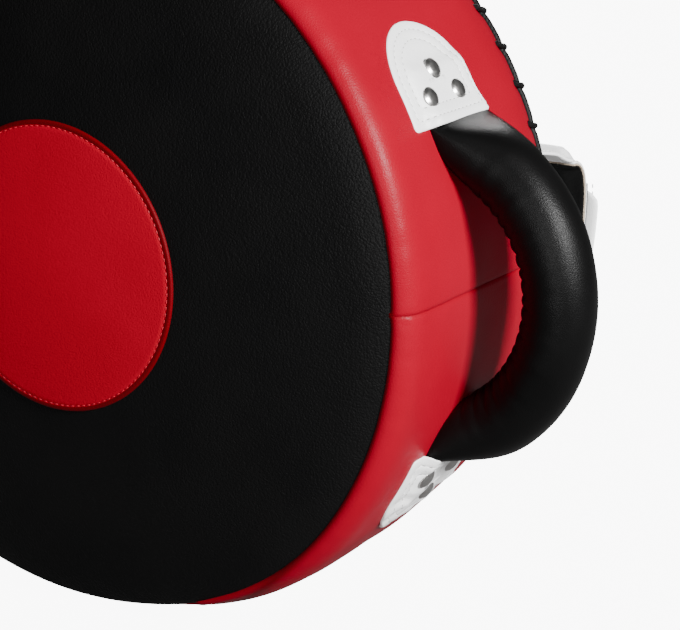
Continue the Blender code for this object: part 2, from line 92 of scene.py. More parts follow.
def bell(distance, width):
    return math.exp(-((distance / width) ** 2))


def sheet(rows, columns, place, close_rows=False, close_columns=False):
    """A grid with place(u, v) for its points. Closing merges its first and last row or column."""
    bm = bmesh.new()
    bm.loops.layers.uv.new("UVMap")
    bmesh.ops.create_grid(bm, x_segments=rows, y_segments=columns, size=1, calc_uvs=True)
    for vert in bm.verts:
        vert.co = place((vert.co.x + 1) / 2, (vert.co.y + 1) / 2)
    if close_rows or close_columns:
        bmesh.ops.remove_doubles(bm, verts=bm.verts, dist=0.001 * MM)
    return bm


def cap_ends(bm):
    """Closes the open rims of a tube."""
    rims = [edge for edge in bm.edges if edge.is_boundary]
    bmesh.ops.holes_fill(bm, edges=rims, sides=0)


def finish_piece(name, bm, material, body, stands_for=(), outwards=True):
    """Stands the mesh up, makes it an object and lets it ride on its body."""
    bmesh.ops.transform(bm, matrix=STAND_UP, verts=bm.verts)
    if outwards:
        bmesh.ops.recalc_face_normals(bm, faces=bm.faces)
    mesh = bpy.data.meshes.new(name)
    bm.to_mesh(mesh)
    bm.free()
    mesh.shade_smooth()
    mesh.materials.append(material)
    piece = bpy.data.objects.new(name, mesh)
    bpy.context.scene.collection.objects.link(piece)
    if body:
        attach(piece, body)
    if stands_for:
        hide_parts(*stands_for)
    print(f"{name}: {len(mesh.polygons)} faces")
    return piece


def thicken(piece, thickness, offset=-1):
    shell = piece.modifiers.new("thickness", "SOLIDIFY")
    shell.thickness = thickness
    shell.offset = offset
    return piece


# %% [markdown]
# ## What the leathers share
# Coated leather has a pebbled grain: small rounded cells with fine creases between them. The grain bends
# light more than it shows in colour, so it goes to a bump. Handling polishes the high spots and leaves a
# cloudy change of tone. One node group makes the grain and the clouds, and each leather sets its own sizes.


# %% A short way to write nodes
def node(tree, kind, inputs=(), **settings):
    made = tree.nodes.new(kind)
    for name, value in settings.items():
        setattr(made, name, value)
    for name, value in dict(inputs).items():
        if isinstance(value, bpy.types.NodeSocket):
            tree.links.new(value, made.inputs[name])
        else:
            made.inputs[name].default_value = value
    return made


def math_node(tree, operation, first, second=0.0, third=0.0):
    return node(tree, "ShaderNodeMath", {0: first, 1: second, 2: third}, operation=operation).outputs[0]


def group(name, inputs, outputs):
    """A shader group with float or vector sockets, and its two end nodes."""
    tree = bpy.data.node_groups.new(name, "ShaderNodeTree")
    for socket, kind, value in inputs:
        made = tree.interface.new_socket(socket, in_out="INPUT", socket_type="NodeSocket" + kind)
        if kind == "Float":
            made.default_value = value
    for socket, kind in outputs:
        tree.interface.new_socket(socket, in_out="OUTPUT", socket_type="NodeSocket" + kind)
    return tree, node(tree, "NodeGroupInput").outputs, node(tree, "NodeGroupOutput")


# %% The grain group
def make_grain_group():
    tree, given, result = group(
        "leather_grain",
        [("Vector", "Vector", None), ("Pebbles per metre", "Float", 900.0), ("Creases", "Float", 0.5)],
        [("Height", "Float"), ("Cloud", "Float"), ("Polish", "Float")],
    )
    warp = node(tree, "ShaderNodeTexNoise", {"Vector": given["Vector"], "Scale": 160.0, "Detail": 2.0})
    shift = node(tree, "ShaderNodeVectorMath", {0: warp.outputs["Color"], "Scale": 0.0018}, operation="SCALE")
    point = node(tree, "ShaderNodeVectorMath", {0: given["Vector"], 1: shift.outputs[0]}, operation="ADD")
    pebbles = node(
        tree, "ShaderNodeTexVoronoi",
        {"Vector": point.outputs[0], "Scale": given["Pebbles per metre"], "Smoothness": 0.6},
        feature="SMOOTH_F1",
    )
    dome = math_node(tree, "SUBTRACT", 1.0, pebbles.outputs["Distance"])
    wide = math_node(tree, "MULTIPLY", given["Pebbles per metre"], 0.31)
    edges = node(
        tree, "ShaderNodeTexVoronoi", {"Vector": point.outputs[0], "Scale": wide}, feature="DISTANCE_TO_EDGE",
    )
    crease = node(
        tree, "ShaderNodeMapRange",
        {"Value": edges.outputs["Distance"], "From Max": 0.10, "To Min": given["Creases"], "To Max": 0.0},
        interpolation_type="SMOOTHSTEP",
    )
    height = math_node(tree, "SUBTRACT", dome, crease.outputs[0])
    cloud = node(tree, "ShaderNodeTexNoise", {"Vector": given["Vector"], "Scale": 14.0, "Detail": 5.0})
    polish = node(tree, "ShaderNodeTexNoise", {"Vector": given["Vector"], "Scale": 46.0, "Detail": 4.0})
    tree.links.new(height, result.inputs["Height"])
    tree.links.new(cloud.outputs["Fac"], result.inputs["Cloud"])
    tree.links.new(polish.outputs["Fac"], result.inputs["Polish"])
    return tree


GRAIN = make_grain_group()
print("group:", GRAIN.name, [item.name for item in GRAIN.interface.items_tree])

# %% [markdown]
# ## The finishes
# Each leather is one Principled BSDF. Its two tones are mixed by the cloud, its roughness follows the
# polish, and the grain is a bump. A vertex attribute named seam mixes in a third, darker colour: on the wall,
# face and back it is painted shade in the seam grooves and turned rims, and on the target patch it is the
# dyed ring at its edge.


# %% Leathers
def leather(name, light, dark, edge, roughness=0.42, spread=0.10, pebbles=900.0, creases=0.4, relief=0.3,
            gloss=0.5):
    material = bpy.data.materials.new(name)
    material.use_nodes = True
    tree = material.node_tree
    shader = tree.nodes["Principled BSDF"]
    place = node(tree, "ShaderNodeTexCoord").outputs["Object"]
    grain = node(
        tree, "ShaderNodeGroup", {}, node_tree=GRAIN,
    )
    tree.links.new(place, grain.inputs["Vector"])
    grain.inputs["Pebbles per metre"].default_value = pebbles
    grain.inputs["Creases"].default_value = creases
    tone = node(
        tree, "ShaderNodeMapRange", {"Value": grain.outputs["Cloud"], "From Min": 0.35, "From Max": 0.68},
        interpolation_type="SMOOTHSTEP",
    )
    body = node(
        tree, "ShaderNodeMix", {0: tone.outputs[0], 6: (*dark, 1), 7: (*light, 1)}, data_type="RGBA",
    )
    # The seam attribute mixes in the edge colour: painted shade at seams and turned rims, and on the patch
    # its dyed ring.
    seam = node(tree, "ShaderNodeAttribute", {}, attribute_name="seam")
    colour = node(
        tree, "ShaderNodeMix", {0: seam.outputs["Fac"], 6: body.outputs[2], 7: (*edge, 1)}, data_type="RGBA",
    )
    dullness = node(
        tree, "ShaderNodeMapRange",
        {"Value": grain.outputs["Polish"], "From Min": 0.3, "From Max": 0.7,
         "To Min": roughness - spread / 2, "To Max": roughness + spread / 2},
    )
    bump = node(
        tree, "ShaderNodeBump", {"Height": grain.outputs["Height"], "Strength": relief, "Distance": 0.00035},
    )
    tree.links.new(colour.outputs[2], shader.inputs["Base Color"])
    tree.links.new(dullness.outputs[0], shader.inputs["Roughness"])
    tree.links.new(bump.outputs[0], shader.inputs["Normal"])
    shader.inputs["Specular IOR Level"].default_value = gloss
    return material


# The third colour of each leather is its edge colour. For red_leather and black_leather it is painted shade
# in seams and turned rims; for patch_leather it is the dyed edge ring.
RED = leather("red_leather", (0.245, 0.0001, 0.0110), (0.220, 0.0001, 0.0095), (0.08, 0.0001, 0.0020),
              roughness=0.40, pebbles=1300, creases=0.1, relief=0.22, gloss=0.09)
PATCH_RED = leather("patch_leather", (0.40, 0.0001, 0.0150), (0.36, 0.0001, 0.0130), (0.11, 0.0001, 0.0030),
                    roughness=0.5, pebbles=1300, creases=0.15, relief=0.25, gloss=0.07)
BLACK = leather("black_leather", (0.0040, 0.0039, 0.0039), (0.0030, 0.0030, 0.0031), (0.003, 0.003, 0.003),
                roughness=0.46, pebbles=1000, creases=0.22, relief=0.6, gloss=0.10)
GRIP_BLACK = leather("grip_leather", (0.0026, 0.0025, 0.0025), (0.0020, 0.0020, 0.0020),
                     (0.0018, 0.0018, 0.0018), roughness=0.37, pebbles=2300, creases=0.04, relief=0.26,
                     gloss=0.11)
WHITE = leather("white_leather", (0.93, 0.93, 0.925), (0.90, 0.90, 0.895), (0.70, 0.69, 0.67),
                roughness=0.42, pebbles=1000, relief=0.16)
LINING = leather("lining_leather", (0.005, 0.005, 0.005), (0.004, 0.004, 0.004), (0.003, 0.003, 0.003),
                 roughness=0.55, pebbles=700, relief=0.3, gloss=0.12)
RAW_EDGE = leather("raw_edge", (0.52, 0.43, 0.33), (0.40, 0.32, 0.24), (0.30, 0.24, 0.18),
                   roughness=0.85, spread=0.1, pebbles=2600, relief=0.8)

# %% [markdown]
# Thread and lace are twisted. A wave across the UV map, slanted by unequal steps along and round the cord,
# gives the twist, and the same group serves thin sewing thread and the thick waxed lace.


# %% Thread, lace and metal
def make_twist_group():
    tree, given, result = group(
        "twist",
        [("Vector", "Vector", None), ("Turns", "Float", 30.0), ("Strands", "Float", 3.0)],
        [("Height", "Float"), ("Fibre", "Float")],
    )
    parts = node(tree, "ShaderNodeSeparateXYZ", {"Vector": given["Vector"]}).outputs
    along = math_node(tree, "MULTIPLY", parts["X"], given["Turns"])
    around = math_node(tree, "MULTIPLY", parts["Y"], given["Strands"])
    phase = math_node(tree, "MULTIPLY", math_node(tree, "ADD", along, around), math.tau)
    height = math_node(tree, "ABSOLUTE", math_node(tree, "SINE", math_node(tree, "MULTIPLY", phase, 0.5)))
    fibre = node(tree, "ShaderNodeTexNoise", {"Vector": given["Vector"], "Scale": 260.0, "Detail": 3.0})
    tree.links.new(height, result.inputs["Height"])
    tree.links.new(fibre.outputs["Fac"], result.inputs["Fibre"])
    return tree


TWIST = make_twist_group()


def twisted(name, light, dark, roughness, turns, strands, depth=0.0004):
    material = bpy.data.materials.new(name)
    material.use_nodes = True
    tree = material.node_tree
    shader = tree.nodes["Principled BSDF"]
    twist = node(tree, "ShaderNodeGroup", {}, node_tree=TWIST)
    tree.links.new(node(tree, "ShaderNodeUVMap", {}, uv_map="UVMap").outputs["UV"], twist.inputs["Vector"])
    twist.inputs["Turns"].default_value = turns
    twist.inputs["Strands"].default_value = strands
    colour = node(
        tree, "ShaderNodeMix", {0: twist.outputs["Fibre"], 6: (*dark, 1), 7: (*light, 1)}, data_type="RGBA",
    )
    bump = node(
        tree, "ShaderNodeBump", {"Height": twist.outputs["Height"], "Strength": 0.6, "Distance": depth},
    )
    tree.links.new(colour.outputs[2], shader.inputs["Base Color"])
    tree.links.new(bump.outputs[0], shader.inputs["Normal"])
    shader.inputs["Roughness"].default_value = roughness
    return material


def nickel(name):
    """Polished nickel plate with the haze and dents of a hammered cap."""
    material = bpy.data.materials.new(name)
    material.use_nodes = True
    tree = material.node_tree
    shader = tree.nodes["Principled BSDF"]
    place = node(tree, "ShaderNodeTexCoord").outputs["Object"]
    haze = node(tree, "ShaderNodeTexNoise", {"Vector": place, "Scale": 700.0, "Detail": 4.0})
    gloss = node(tree, "ShaderNodeMapRange", {"Value": haze.outputs["Fac"], "To Min": 0.22, "To Max": 0.42})
    colour = node(
        tree, "ShaderNodeMix",
        {0: haze.outputs["Fac"], 6: (0.36, 0.35, 0.34, 1), 7: (0.55, 0.54, 0.53, 1)}, data_type="RGBA",
    )
    dents = node(tree, "ShaderNodeTexNoise", {"Vector": place, "Scale": 320.0, "Detail": 1.0})
    bump = node(
        tree, "ShaderNodeBump", {"Height": dents.outputs["Fac"], "Strength": 0.25, "Distance": 0.0006},
    )
    tree.links.new(colour.outputs[2], shader.inputs["Base Color"])
    tree.links.new(gloss.outputs[0], shader.inputs["Roughness"])
    tree.links.new(bump.outputs[0], shader.inputs["Normal"])
    shader.inputs["Metallic"].default_value = 1.0
    return material


# The tab stitches are real thread, but their dark grey paints the shade of the stitch holes on the white
# tabs.
SHADED_STITCH_THREAD = twisted("shaded_stitch_thread", (0.34, 0.33, 0.32), (0.22, 0.21, 0.20), 0.7, 3, 1, 0.0001)
WHITE_THREAD = twisted("white_thread", (0.86, 0.86, 0.85), (0.74, 0.74, 0.72), 0.6, 3, 1, 0.0001)
RED_THREAD = twisted("red_thread", (0.50, 0.004, 0.02), (0.34, 0.003, 0.014), 0.55, 3, 1, 0.0001)
LACE = twisted("lace_cord", (0.006, 0.006, 0.006), (0.003, 0.003, 0.003), 0.55, 500, 3, 0.00015)
LACE.node_tree.nodes["Principled BSDF"].inputs["Specular IOR Level"].default_value = 0.12
NICKEL = nickel("nickel_plate")
print("finishes:", [material.name for material in bpy.data.materials if material.use_nodes][:12])

# %% [markdown]
# ## The shape that everything sits on
# The drum isn't a perfect cylinder: the wall bulges a little behind the front seam, narrows to the back,
# rolls in to the lacing, and the foam makes it softly uneven. One function gives the wall's radius at any
# angle and level, so the tabs, rivets and stitches that lie on the wall all follow the same unevenness.

# %% The wall's outline and its softness
WALL_LINE = [
    (172.0, 129.0), (172.8, 130.9), (174.0, 131.3), (176.2, 130.3), (178.6, 127.0), (179.9, 121.5),
    (180.0, 111.0), (179.9, 100.7), (179.2, 85.7), (178.4, 75.0), (177.8, 62.0), (177.8, 42.0), (177.4, 24.0),
    (175.6, 12.5), (172.9, 5.4), (170.9, 1.8), (169.2, 0.6), (167.8, 1.0),
]


def smooth_line(points, per_span):
    """Points on a smooth curve through the given ones (a Catmull-Rom spline)."""
    knots = [Vector(point) for point in points]
    knots = [2 * knots[0] - knots[1], *knots, 2 * knots[-1] - knots[-2]]
    made = []
    for before, start, end, after in zip(knots, knots[1:], knots[2:], knots[3:]):
        for step in range(per_span):
            t = step / per_span
            bend = 2 * before - 5 * start + 4 * end - after
            twist = 3 * start - before - 3 * end + after
            made.append(0.5 * (2 * start + (end - before) * t + bend * t**2 + twist * t**3))
    return [*made, knots[-2]]


wall_line = [point * MM for point in smooth_line(WALL_LINE, 4)]
flank = [point for point in wall_line if 15 * MM < point.y < 124 * MM]


def flank_radius(level):
    """The wall's radius at a level between its two rounded edges."""
    level = min(max(level, flank[-1].y), flank[0].y)
    for high, low in zip(flank, flank[1:]):
        if low.y <= level:
            share = (high.y - level) / (high.y - low.y)
            return high.x + (low.x - high.x) * share
    return flank[-1].x


def degrees_from(angle, middle):
    """How far an angle is from a given number of degrees, by the shorter way."""
    return (math.degrees(angle) - middle + 180) % 360 - 180


def settled(radius, angle, level):
    """A used pad stands on its lower side, which is pressed flat, and its rear hem is drawn in there."""
    base = bell(degrees_from(angle, -102), 36)
    rear = bell(degrees_from(angle, -42), 26) * ease((62 * MM - level) / (50 * MM))
    bulge = ease((radius - 171.5 * MM) / (7 * MM))
    reach = min(radius / (172 * MM), 1.0) ** 4
    base += 0.33 * bell(degrees_from(angle, -76), 20)
    return -(6.8 * MM + 8.2 * MM * bulge) * base * reach - 4.5 * MM * rear * reach * min(bulge + 0.45, 1)


def unevenness(angle, level):
    """How far the foam pushes the wall out or lets it sink there."""
    spot = Vector((math.cos(angle), math.sin(angle), level / WALL_RADIUS)) * 2.3
    soft = 0.6 * MM * noise.noise(spot) + 0.3 * MM * noise.noise(spot * 3.1 + Vector((5, 1, 2)))
    return soft + settled(flank_radius(level), angle, level)


def settle(bm):
    """Moves the points of a piece inside the drum's outline the way the outline moved."""
    for vert in bm.verts:
        radius = math.hypot(vert.co.x, vert.co.y)
        if radius > 1 * MM:
            change = 1 + settled(radius, math.atan2(vert.co.y, vert.co.x), vert.co.z) / radius
            vert.co.x *= change
            vert.co.y *= change


def wall_point(side, along, across, height):
    """A point on the wall beside a handle: along is the way up the wall from the seam."""
    angle = along / WALL_RADIUS
    level = HANDLE_LEVEL + across
    reach = flank_radius(level) + unevenness(angle if side > 0 else math.pi - angle, level) + height
    return Vector((side * reach * math.cos(angle), reach * math.sin(angle), level))


print(f"outline of {len(wall_line)} points, radius at the handles {flank_radius(HANDLE_LEVEL) / MM:.2f} mm")

# %% [markdown]
# ## The wall
# The wall is two strips of red leather, sewn together behind each handle. Each seam is turned, so it shows
# as a fine groove with a few puckers beside it. The lace pulls a dimple into the hem at every stitch. The
# strip is a grid round the drum with its rows set close together near the seams, where the shape is fine.

# %% The two strips of the wall
LACE_STITCHES = 56
lace_pitch = math.tau / LACE_STITCHES
HALF_WAY = math.pi * WALL_RADIUS / 2


def seam_spacing(length, finest, widest):
    """Distances from 0 to length whose steps grow from finest to widest."""
    stops, step = [0.0], finest
    while stops[-1] + step < length:
        stops.append(stops[-1] + step)
        step = min(step * 1.22, widest)
    return [*stops, length]


quarter = seam_spacing(HALF_WAY, 0.22 * MM, 1.5 * MM)
half_wall = [*quarter, *[2 * HALF_WAY - stop for stop in reversed(quarter[:-1])]]


def wall_skin(start):
    def place(u, v):
        run = half_wall[round(u * (len(half_wall) - 1))]
        base = wall_line[round(v * (len(wall_line) - 1))]
        angle = start + run / WALL_RADIUS
        from_seam = min(run, 2 * HALF_WAY - run)
        radius = base.x + unevenness(angle, base.y)
        radius += settled(base.x, angle, base.y) - settled(flank_radius(base.y), angle, base.y)
        radius -= 1.5 * MM * bell(from_seam, 0.8 * MM) + 0.35 * MM * bell(from_seam, 5 * MM)
        pucker = noise.noise(Vector((from_seam / (4 * MM), base.y / (3.2 * MM), start)))
        radius += 0.35 * MM * pucker * bell(from_seam - 2.5 * MM, 4 * MM)
        to_stitch = (angle / lace_pitch + 0.5) % 1 - 0.5
        pull = bell(to_stitch * lace_pitch * WALL_RADIUS, 3 * MM) * bell(base.y - 4 * MM, 5 * MM)
        radius -= 0.8 * MM * pull
        ripple = noise.noise(Vector((angle * 26, start, 3)))
        radius += 0.25 * MM * ripple * bell(base.y - (SEAM_LEVEL - 3 * MM), 5 * MM)
        return Vector((radius * math.cos(angle), radius * math.sin(angle), base.y))

    return sheet(len(half_wall) - 1, len(wall_line) - 1, place)


def mark_seam(bm, share_at):
    """Stores how much of each vertex takes the leather's darker edge colour: painted shade at seams and
    turned rims, and the patch's dyed ring.
    """
    layer = bm.verts.layers.float.new("seam")
    for vert in bm.verts:
        vert[layer] = share_at(vert.co)


# Painted shade: the red leather is darkened in the turned seam grooves behind the handles and along the face
# seam.
def wall_seam_shade(co):
    angle = abs(math.atan2(co.y, abs(co.x)))
    radius = math.hypot(co.x, co.y)
    beside = bell(angle * WALL_RADIUS, 0.9 * MM)
    at_face = bell(radius - 172.2 * MM, 1.2 * MM) * ease((co.z - 100 * MM) / (20 * MM))
    return max(beside, 0.8 * at_face)


for name, start in (("wall_upper", 0.0), ("wall_lower", math.pi)):
    skin = wall_skin(start)
    mark_seam(skin, wall_seam_shade)
    strip = finish_piece(name + "_leather", skin, RED, "pad", [name], outwards=False)
    thicken(strip, 1.6 * MM)

# %% [markdown]
# ## The strike face
# The face is one disc of black leather over the foam, crowned by about 18 mm, with its edge turned in at
# the seam. A profile spun about the drum's axis gives the disc. Then each vertex is moved a little: broad
# hollows where the foam has been struck, and fine ripples that gather towards the seam.


# %% The black face
ROLL = 2.2 * MM


def face_level(radius):
    roll = max(0.0, (radius - 156 * MM) / (17.2 * MM)) ** 2
    return SEAM_LEVEL + ROLL + (CROWN - ROLL) * (1 - (radius / (173.2 * MM)) ** 2.4) - ROLL * roll


def face_relief(x, y):
    """Soft hollows and ripples of the leather over the foam."""
    radius = math.hypot(x, y)
    angle = math.atan2(y, x)
    broad = noise.noise(Vector((x / 0.10, y / 0.10, 1.0)))
    ripple = noise.noise(Vector((math.cos(angle) * 14, math.sin(angle) * 14, 4)))
    inner = 0.55 * MM * broad * ease((0.172 - radius) / 0.03)
    return inner + 0.18 * MM * ripple * bell(radius - 0.168, 5 * MM)


def spun(profile, steps):
    """A full turn of a profile of (radius, level) about the drum's axis."""
    bm = bmesh.new()
    points = [bm.verts.new((radius, 0, level)) for radius, level in profile]
    for first, second in zip(points, points[1:]):
        bm.edges.new((first, second))
    bmesh.ops.spin(
        bm, geom=[*bm.verts, *bm.edges], cent=(0, 0, 0), axis=(0, 0, 1), angle=math.tau, steps=steps,
        use_merge=True,
    )
    bmesh.ops.remove_doubles(bm, verts=bm.verts, dist=0.01 * MM)
    return bm


rim = [(172.0, 0.45), (172.6, -0.05), (172.9, -0.8), (172.7, -1.6), (171.9, -2.6)]
face_rings = [173.2 * MM * (step / 44) ** 0.85 for step in range(44)]
face_rings = [radius for radius in face_rings if radius < 170.8 * MM]
profile = [(radius, face_level(radius)) for radius in face_rings]
profile += [(radius * MM, SEAM_LEVEL + rise * MM) for radius, rise in rim]
bm = spun(profile, 300)
for vert in bm.verts:
    vert.co.z += face_relief(vert.co.x, vert.co.y)
# Painted shade at the face's turned rim, where it meets the wall.
mark_seam(bm, lambda co: bell(math.hypot(co.x, co.y) - 173 * MM, 1.0 * MM))
settle(bm)
face = finish_piece("strike_face_leather", bm, BLACK, "pad", ["front_panel"])
thicken(face, 1.6 * MM)

# %% [markdown]
# ## The target patch
# A red leather disc is glued and sewn on the crown. Its edge is pared thin and dyed darker, which shows as
# a dark ring. The disc is plain: one ring of red thread is its only mark.

# %% The patch, its ring and its thread


def stitches(bm, spots, length, radius):
    """A row of short threads. Each spot is (middle, direction, up)."""
    for middle, direction, up in spots:
        ahead = direction.normalized()
        sideways = up.cross(ahead).normalized()
        turn = Matrix((ahead, sideways, ahead.cross(sideways))).transposed().to_4x4()
        squeeze = Matrix.Diagonal((length / 2, radius, radius * 0.8, 1))
        bmesh.ops.create_uvsphere(
            bm, u_segments=6, v_segments=5, radius=1, matrix=Matrix.Translation(middle) @ turn @ squeeze,
            calc_uvs=True,
        )


def thread_bmesh():
    bm = bmesh.new()
    bm.loops.layers.uv.new("UVMap")
    return bm


def patch_level(x, y):
    return face_level(math.hypot(x, y)) + face_relief(x, y)


patch_steps = [0, 6, 12, 18, 24, 30, 35, 40, 45, 50, 55, 60, 63, 64.4, 64.8, 65.1, 65.4, 65.8, 66.4, 67.0]
profile = [(radius * MM, 0) for radius in patch_steps]
profile += [(PATCH_RADIUS - 0.25 * MM, -0.15 * MM), (PATCH_RADIUS, -0.55 * MM), (PATCH_RADIUS, -1.3 * MM)]
bm = spun(profile, 200)
for vert in bm.verts:
    radius = math.hypot(vert.co.x, vert.co.y)
    groove = 0.3 * MM * bell(radius - 65.1 * MM, 0.35 * MM)
    vert.co.z += patch_level(vert.co.x, vert.co.y) + 1.3 * MM - groove
mark_seam(bm, lambda co: ease((math.hypot(co.x, co.y) - (PATCH_RADIUS - 2.4 * MM)) / (0.5 * MM)))
finish_piece("target_patch_leather", bm, PATCH_RED, "pad", ["target_patch"])

bm = thread_bmesh()
count = 128
ring_radius = 65.1 * MM
spots = []
for index in range(count):
    angle = math.tau * index / count
    x, y = ring_radius * math.cos(angle), ring_radius * math.sin(angle)
    middle = Vector((x, y, patch_level(x, y) + 1.12 * MM))
    spots.append((middle, Vector((-y, x, 0)), Vector((0.1 * x, 0.1 * y, 0.1))))
stitches(bm, spots, 2.3 * MM, 0.3 * MM)
finish_piece("target_patch_thread", bm, RED_THREAD, "pad")

# %% [markdown]
# ## The lacing
# The rear hem is closed by hand with a thick waxed cord in a blanket stitch: one run lies along the edge,
# and at every stitch a loop comes out of the red wall, crosses the run on a slant and goes into the back
# panel. Run and loops are tubes: a ring of points swept along a smooth line.


# %% A tube along a line
def tube(line, radius_at, sides, closed=False):
    """A tube along points. radius_at(share) gives its radius, and a closed one joins its two ends."""
    count = len(line)
    rings = []
    for index, point in enumerate(line):
        after = line[(index + 1) % count] if closed else line[min(index + 1, count - 1)]
        before = line[index - 1] if closed or index else line[0]
        ahead = (after - before).normalized()
        outward = Vector((point.x, point.y, 0)).normalized()
        side = ahead.cross(outward).normalized()
        rings.append((point, side, side.cross(ahead)))

    def place(u, v):
        step = round(u * (count if closed else count - 1))
        point, side, up = rings[step % count]
        radius = radius_at(step / count)
        turn = math.tau * (round(v * sides) % sides) / sides
        return point + radius * (math.cos(turn) * side + math.sin(turn) * up)

    rows = count if closed else count - 1
    return sheet(rows, sides, place, close_rows=closed, close_columns=True)


# %% [markdown]
# The lace is a blanket stitch: one cord runs along the rim, and at each stitch a short loop comes over it
# from the wall, passes round the rim and goes into the back panel. The run is one closed tube, and each loop
# is a short tube along the same line, turned to its place.

# %% The lace's run and its loops
RUN_RADIUS, LOOP_RADIUS = 1.9 * MM, 1.0 * MM
run = []
for index in range(LACE_STITCHES * 10):
    angle = math.tau * index / (LACE_STITCHES * 10)
    to_stitch = (angle / lace_pitch + 0.5) % 1 - 0.5
    tight = bell(to_stitch, 0.16)
    radius = (171.7 - 0.5 * tight) * MM
    level = (-0.7 + 0.3 * tight) * MM
    run.append(Vector((radius * math.cos(angle), radius * math.sin(angle), level)))
bm = tube(run, lambda share: RUN_RADIUS, 10, closed=True)
settle(bm)
finish_piece("rear_lace_run", bm, LACE, "pad", ["rear_lace"])

LOOP_LINE = [(172.4, 7.4), (175.0, 7.4), (175.3, 5.6), (174.2, 3.0), (173.7, 0.3), (173.0, -1.9),
             (170.9, -3.0), (168.2, -2.7), (166.2, -1.4), (165.4, 0.8)]
SLANT = 5.0 * MM
loops = bmesh.new()
loops.loops.layers.uv.new("UVMap")
for stitch in range(LACE_STITCHES):
    angle = lace_pitch * stitch
    sway = 0.4 * MM * noise.noise(Vector((stitch * 1.7, 0, 0)))
    line = []
    smooth = smooth_line(LOOP_LINE, 3)
    for index, (radius, level) in enumerate(smooth):
        share = index / (len(smooth) - 1)
        bearing = angle + (SLANT * (0.5 - share) + sway) / WALL_RADIUS
        radius = radius * MM
        line.append(Vector((radius * math.cos(bearing), radius * math.sin(bearing), level * MM)))
    knot = LOOP_RADIUS * (1 + 0.12 * noise.noise(Vector((stitch * 2.3, 5, 0))))
    one = tube(
        line, lambda share: knot * (1 + 0.6 * bell(share - 0.12, 0.1) + 0.35 * bell(share - 0.45, 0.14)), 8,
    )
    cap_ends(one)
    settle(one)
    scratch = bpy.data.meshes.new("loop")
    one.to_mesh(scratch)
    one.free()
    loops.from_mesh(scratch)
    bpy.data.meshes.remove(scratch)
finish_piece("rear_lace_loops", loops, LACE, "pad")

# %% [markdown]
# ## The tabs
# Each end of a handle is held by a tombstone-shaped tab of thick white leather. It lies over the handle's
# flat tongue, so it is raised in the middle and drops to the wall round its rim, and the padded handle
# lifts its straight edge. The tab is built of closed outlines set one inside the other, which puts a ring
# of vertices exactly on each row of stitches, where the thread sinks into the leather.

# %% Tombstone outlines
TAB_START, TAB_LENGTH, TAB_HALF = 75.8 * MM, 49.4 * MM, 28.6 * MM
ROWS = (4.3 * MM, 9.2 * MM)
CROSS_ROW = 7.0 * MM


def tombstone(inset, start=TAB_START, length=TAB_LENGTH, half=TAB_HALF, corner=2.5 * MM):
    """An outline with one straight end and one round end, set in by inset: (along, across) points."""
    width = half - inset
    centre = start + length - half
    low = min(start + inset, centre - 0.2 * MM)
    corner = min(corner, width * 0.4, (centre - low) * 0.8)
    points = []
    for step in range(24):
        points.append((low, -width + corner + (2 * width - 2 * corner) * step / 24))
    for step in range(6):
        turn = math.pi / 2 * step / 6
        points.append((low + corner - corner * math.cos(turn), width - corner + corner * math.sin(turn)))
    for step in range(14):
        points.append((low + corner + (centre - low - corner) * step / 14, width))
    for step in range(56):
        turn = math.pi * step / 56
        points.append((centre + width * math.sin(turn), width * math.cos(turn)))
    for step in range(14):
        points.append((centre - (centre - low - corner) * step / 14, -width))
    for step in range(6):
        turn = math.pi / 2 * step / 6
        points.append((low + corner - corner * math.sin(turn), -width + corner - corner * math.cos(turn)))
    return points


def nested_sheet(outlines, place):
    """A closed leather piece from (outline, height) pairs, from the underside out, round and in again."""
    count = len(outlines[0][0])

    def spot(u, v):
        outline, height = outlines[round(u * (len(outlines) - 1))]
        along, across = outline[round(v * count) % count]
        return place(along, across, height)

    bm = sheet(len(outlines) - 1, count, spot, close_columns=True)
    cap_ends(bm)
    return bm


# %% [markdown]
# A tab doesn't lie flat: it climbs over the flattened end of the sleeve and drops to the wall again beyond.
# The outline is set inwards ring by ring, and each point is lifted by that drape. Two rows of stitches follow
# the outline and one crosses the open end.

# %% A tab, its drape and its rows
def drape(along, across, way_wrinkle, tongue_at=-5 * MM):
    """The height of the tab's underside over the wall, with the sleeve's flat end under it at tongue_at."""
    over_tongue = 1 - ease((abs(across - tongue_at) - 19.5 * MM) / (6 * MM))
    past_tongue = 1 - ease((along - (TAB_START + 24 * MM)) / (8 * MM))
    lifted = 3.2 * MM * bell(max(along - TAB_START, 0), 8 * MM) * over_tongue
    height = 0.35 * MM + TONGUE * over_tongue * past_tongue + lifted
    if way_wrinkle:
        fold = noise.noise(Vector((along / (11 * MM), across / (17 * MM), 7.0)))
        fine = noise.noise(Vector((along / (5 * MM), across / (14 * MM), 2.0)))
        inside = ease((TAB_HALF - abs(across)) / (5 * MM))
        height += way_wrinkle * (1.5 * MM * abs(fold) + 0.5 * MM * max(fine, 0)) * inside
    return height


TAB_THICK = 1.9 * MM
TAB_RINGS = [
    (12.0, 0.0), (4.0, 0.0), (0.6, 0.0), (0.1, 0.25), (0.0, 0.9), (0.1, 1.45), (0.45, 1.78), (1.2, 1.9),
    (2.6, 1.95), (3.8, 1.9), (4.1, 1.75), (4.3, 1.55), (4.5, 1.75), (4.8, 1.9), (6.5, 1.97), (8.6, 1.9),
    (9.0, 1.75), (9.2, 1.58), (9.4, 1.75), (9.8, 1.9), (12, 1.95), (15, 1.95), (18, 1.95), (21, 1.95),
    (24, 1.95), (27, 1.95),
]


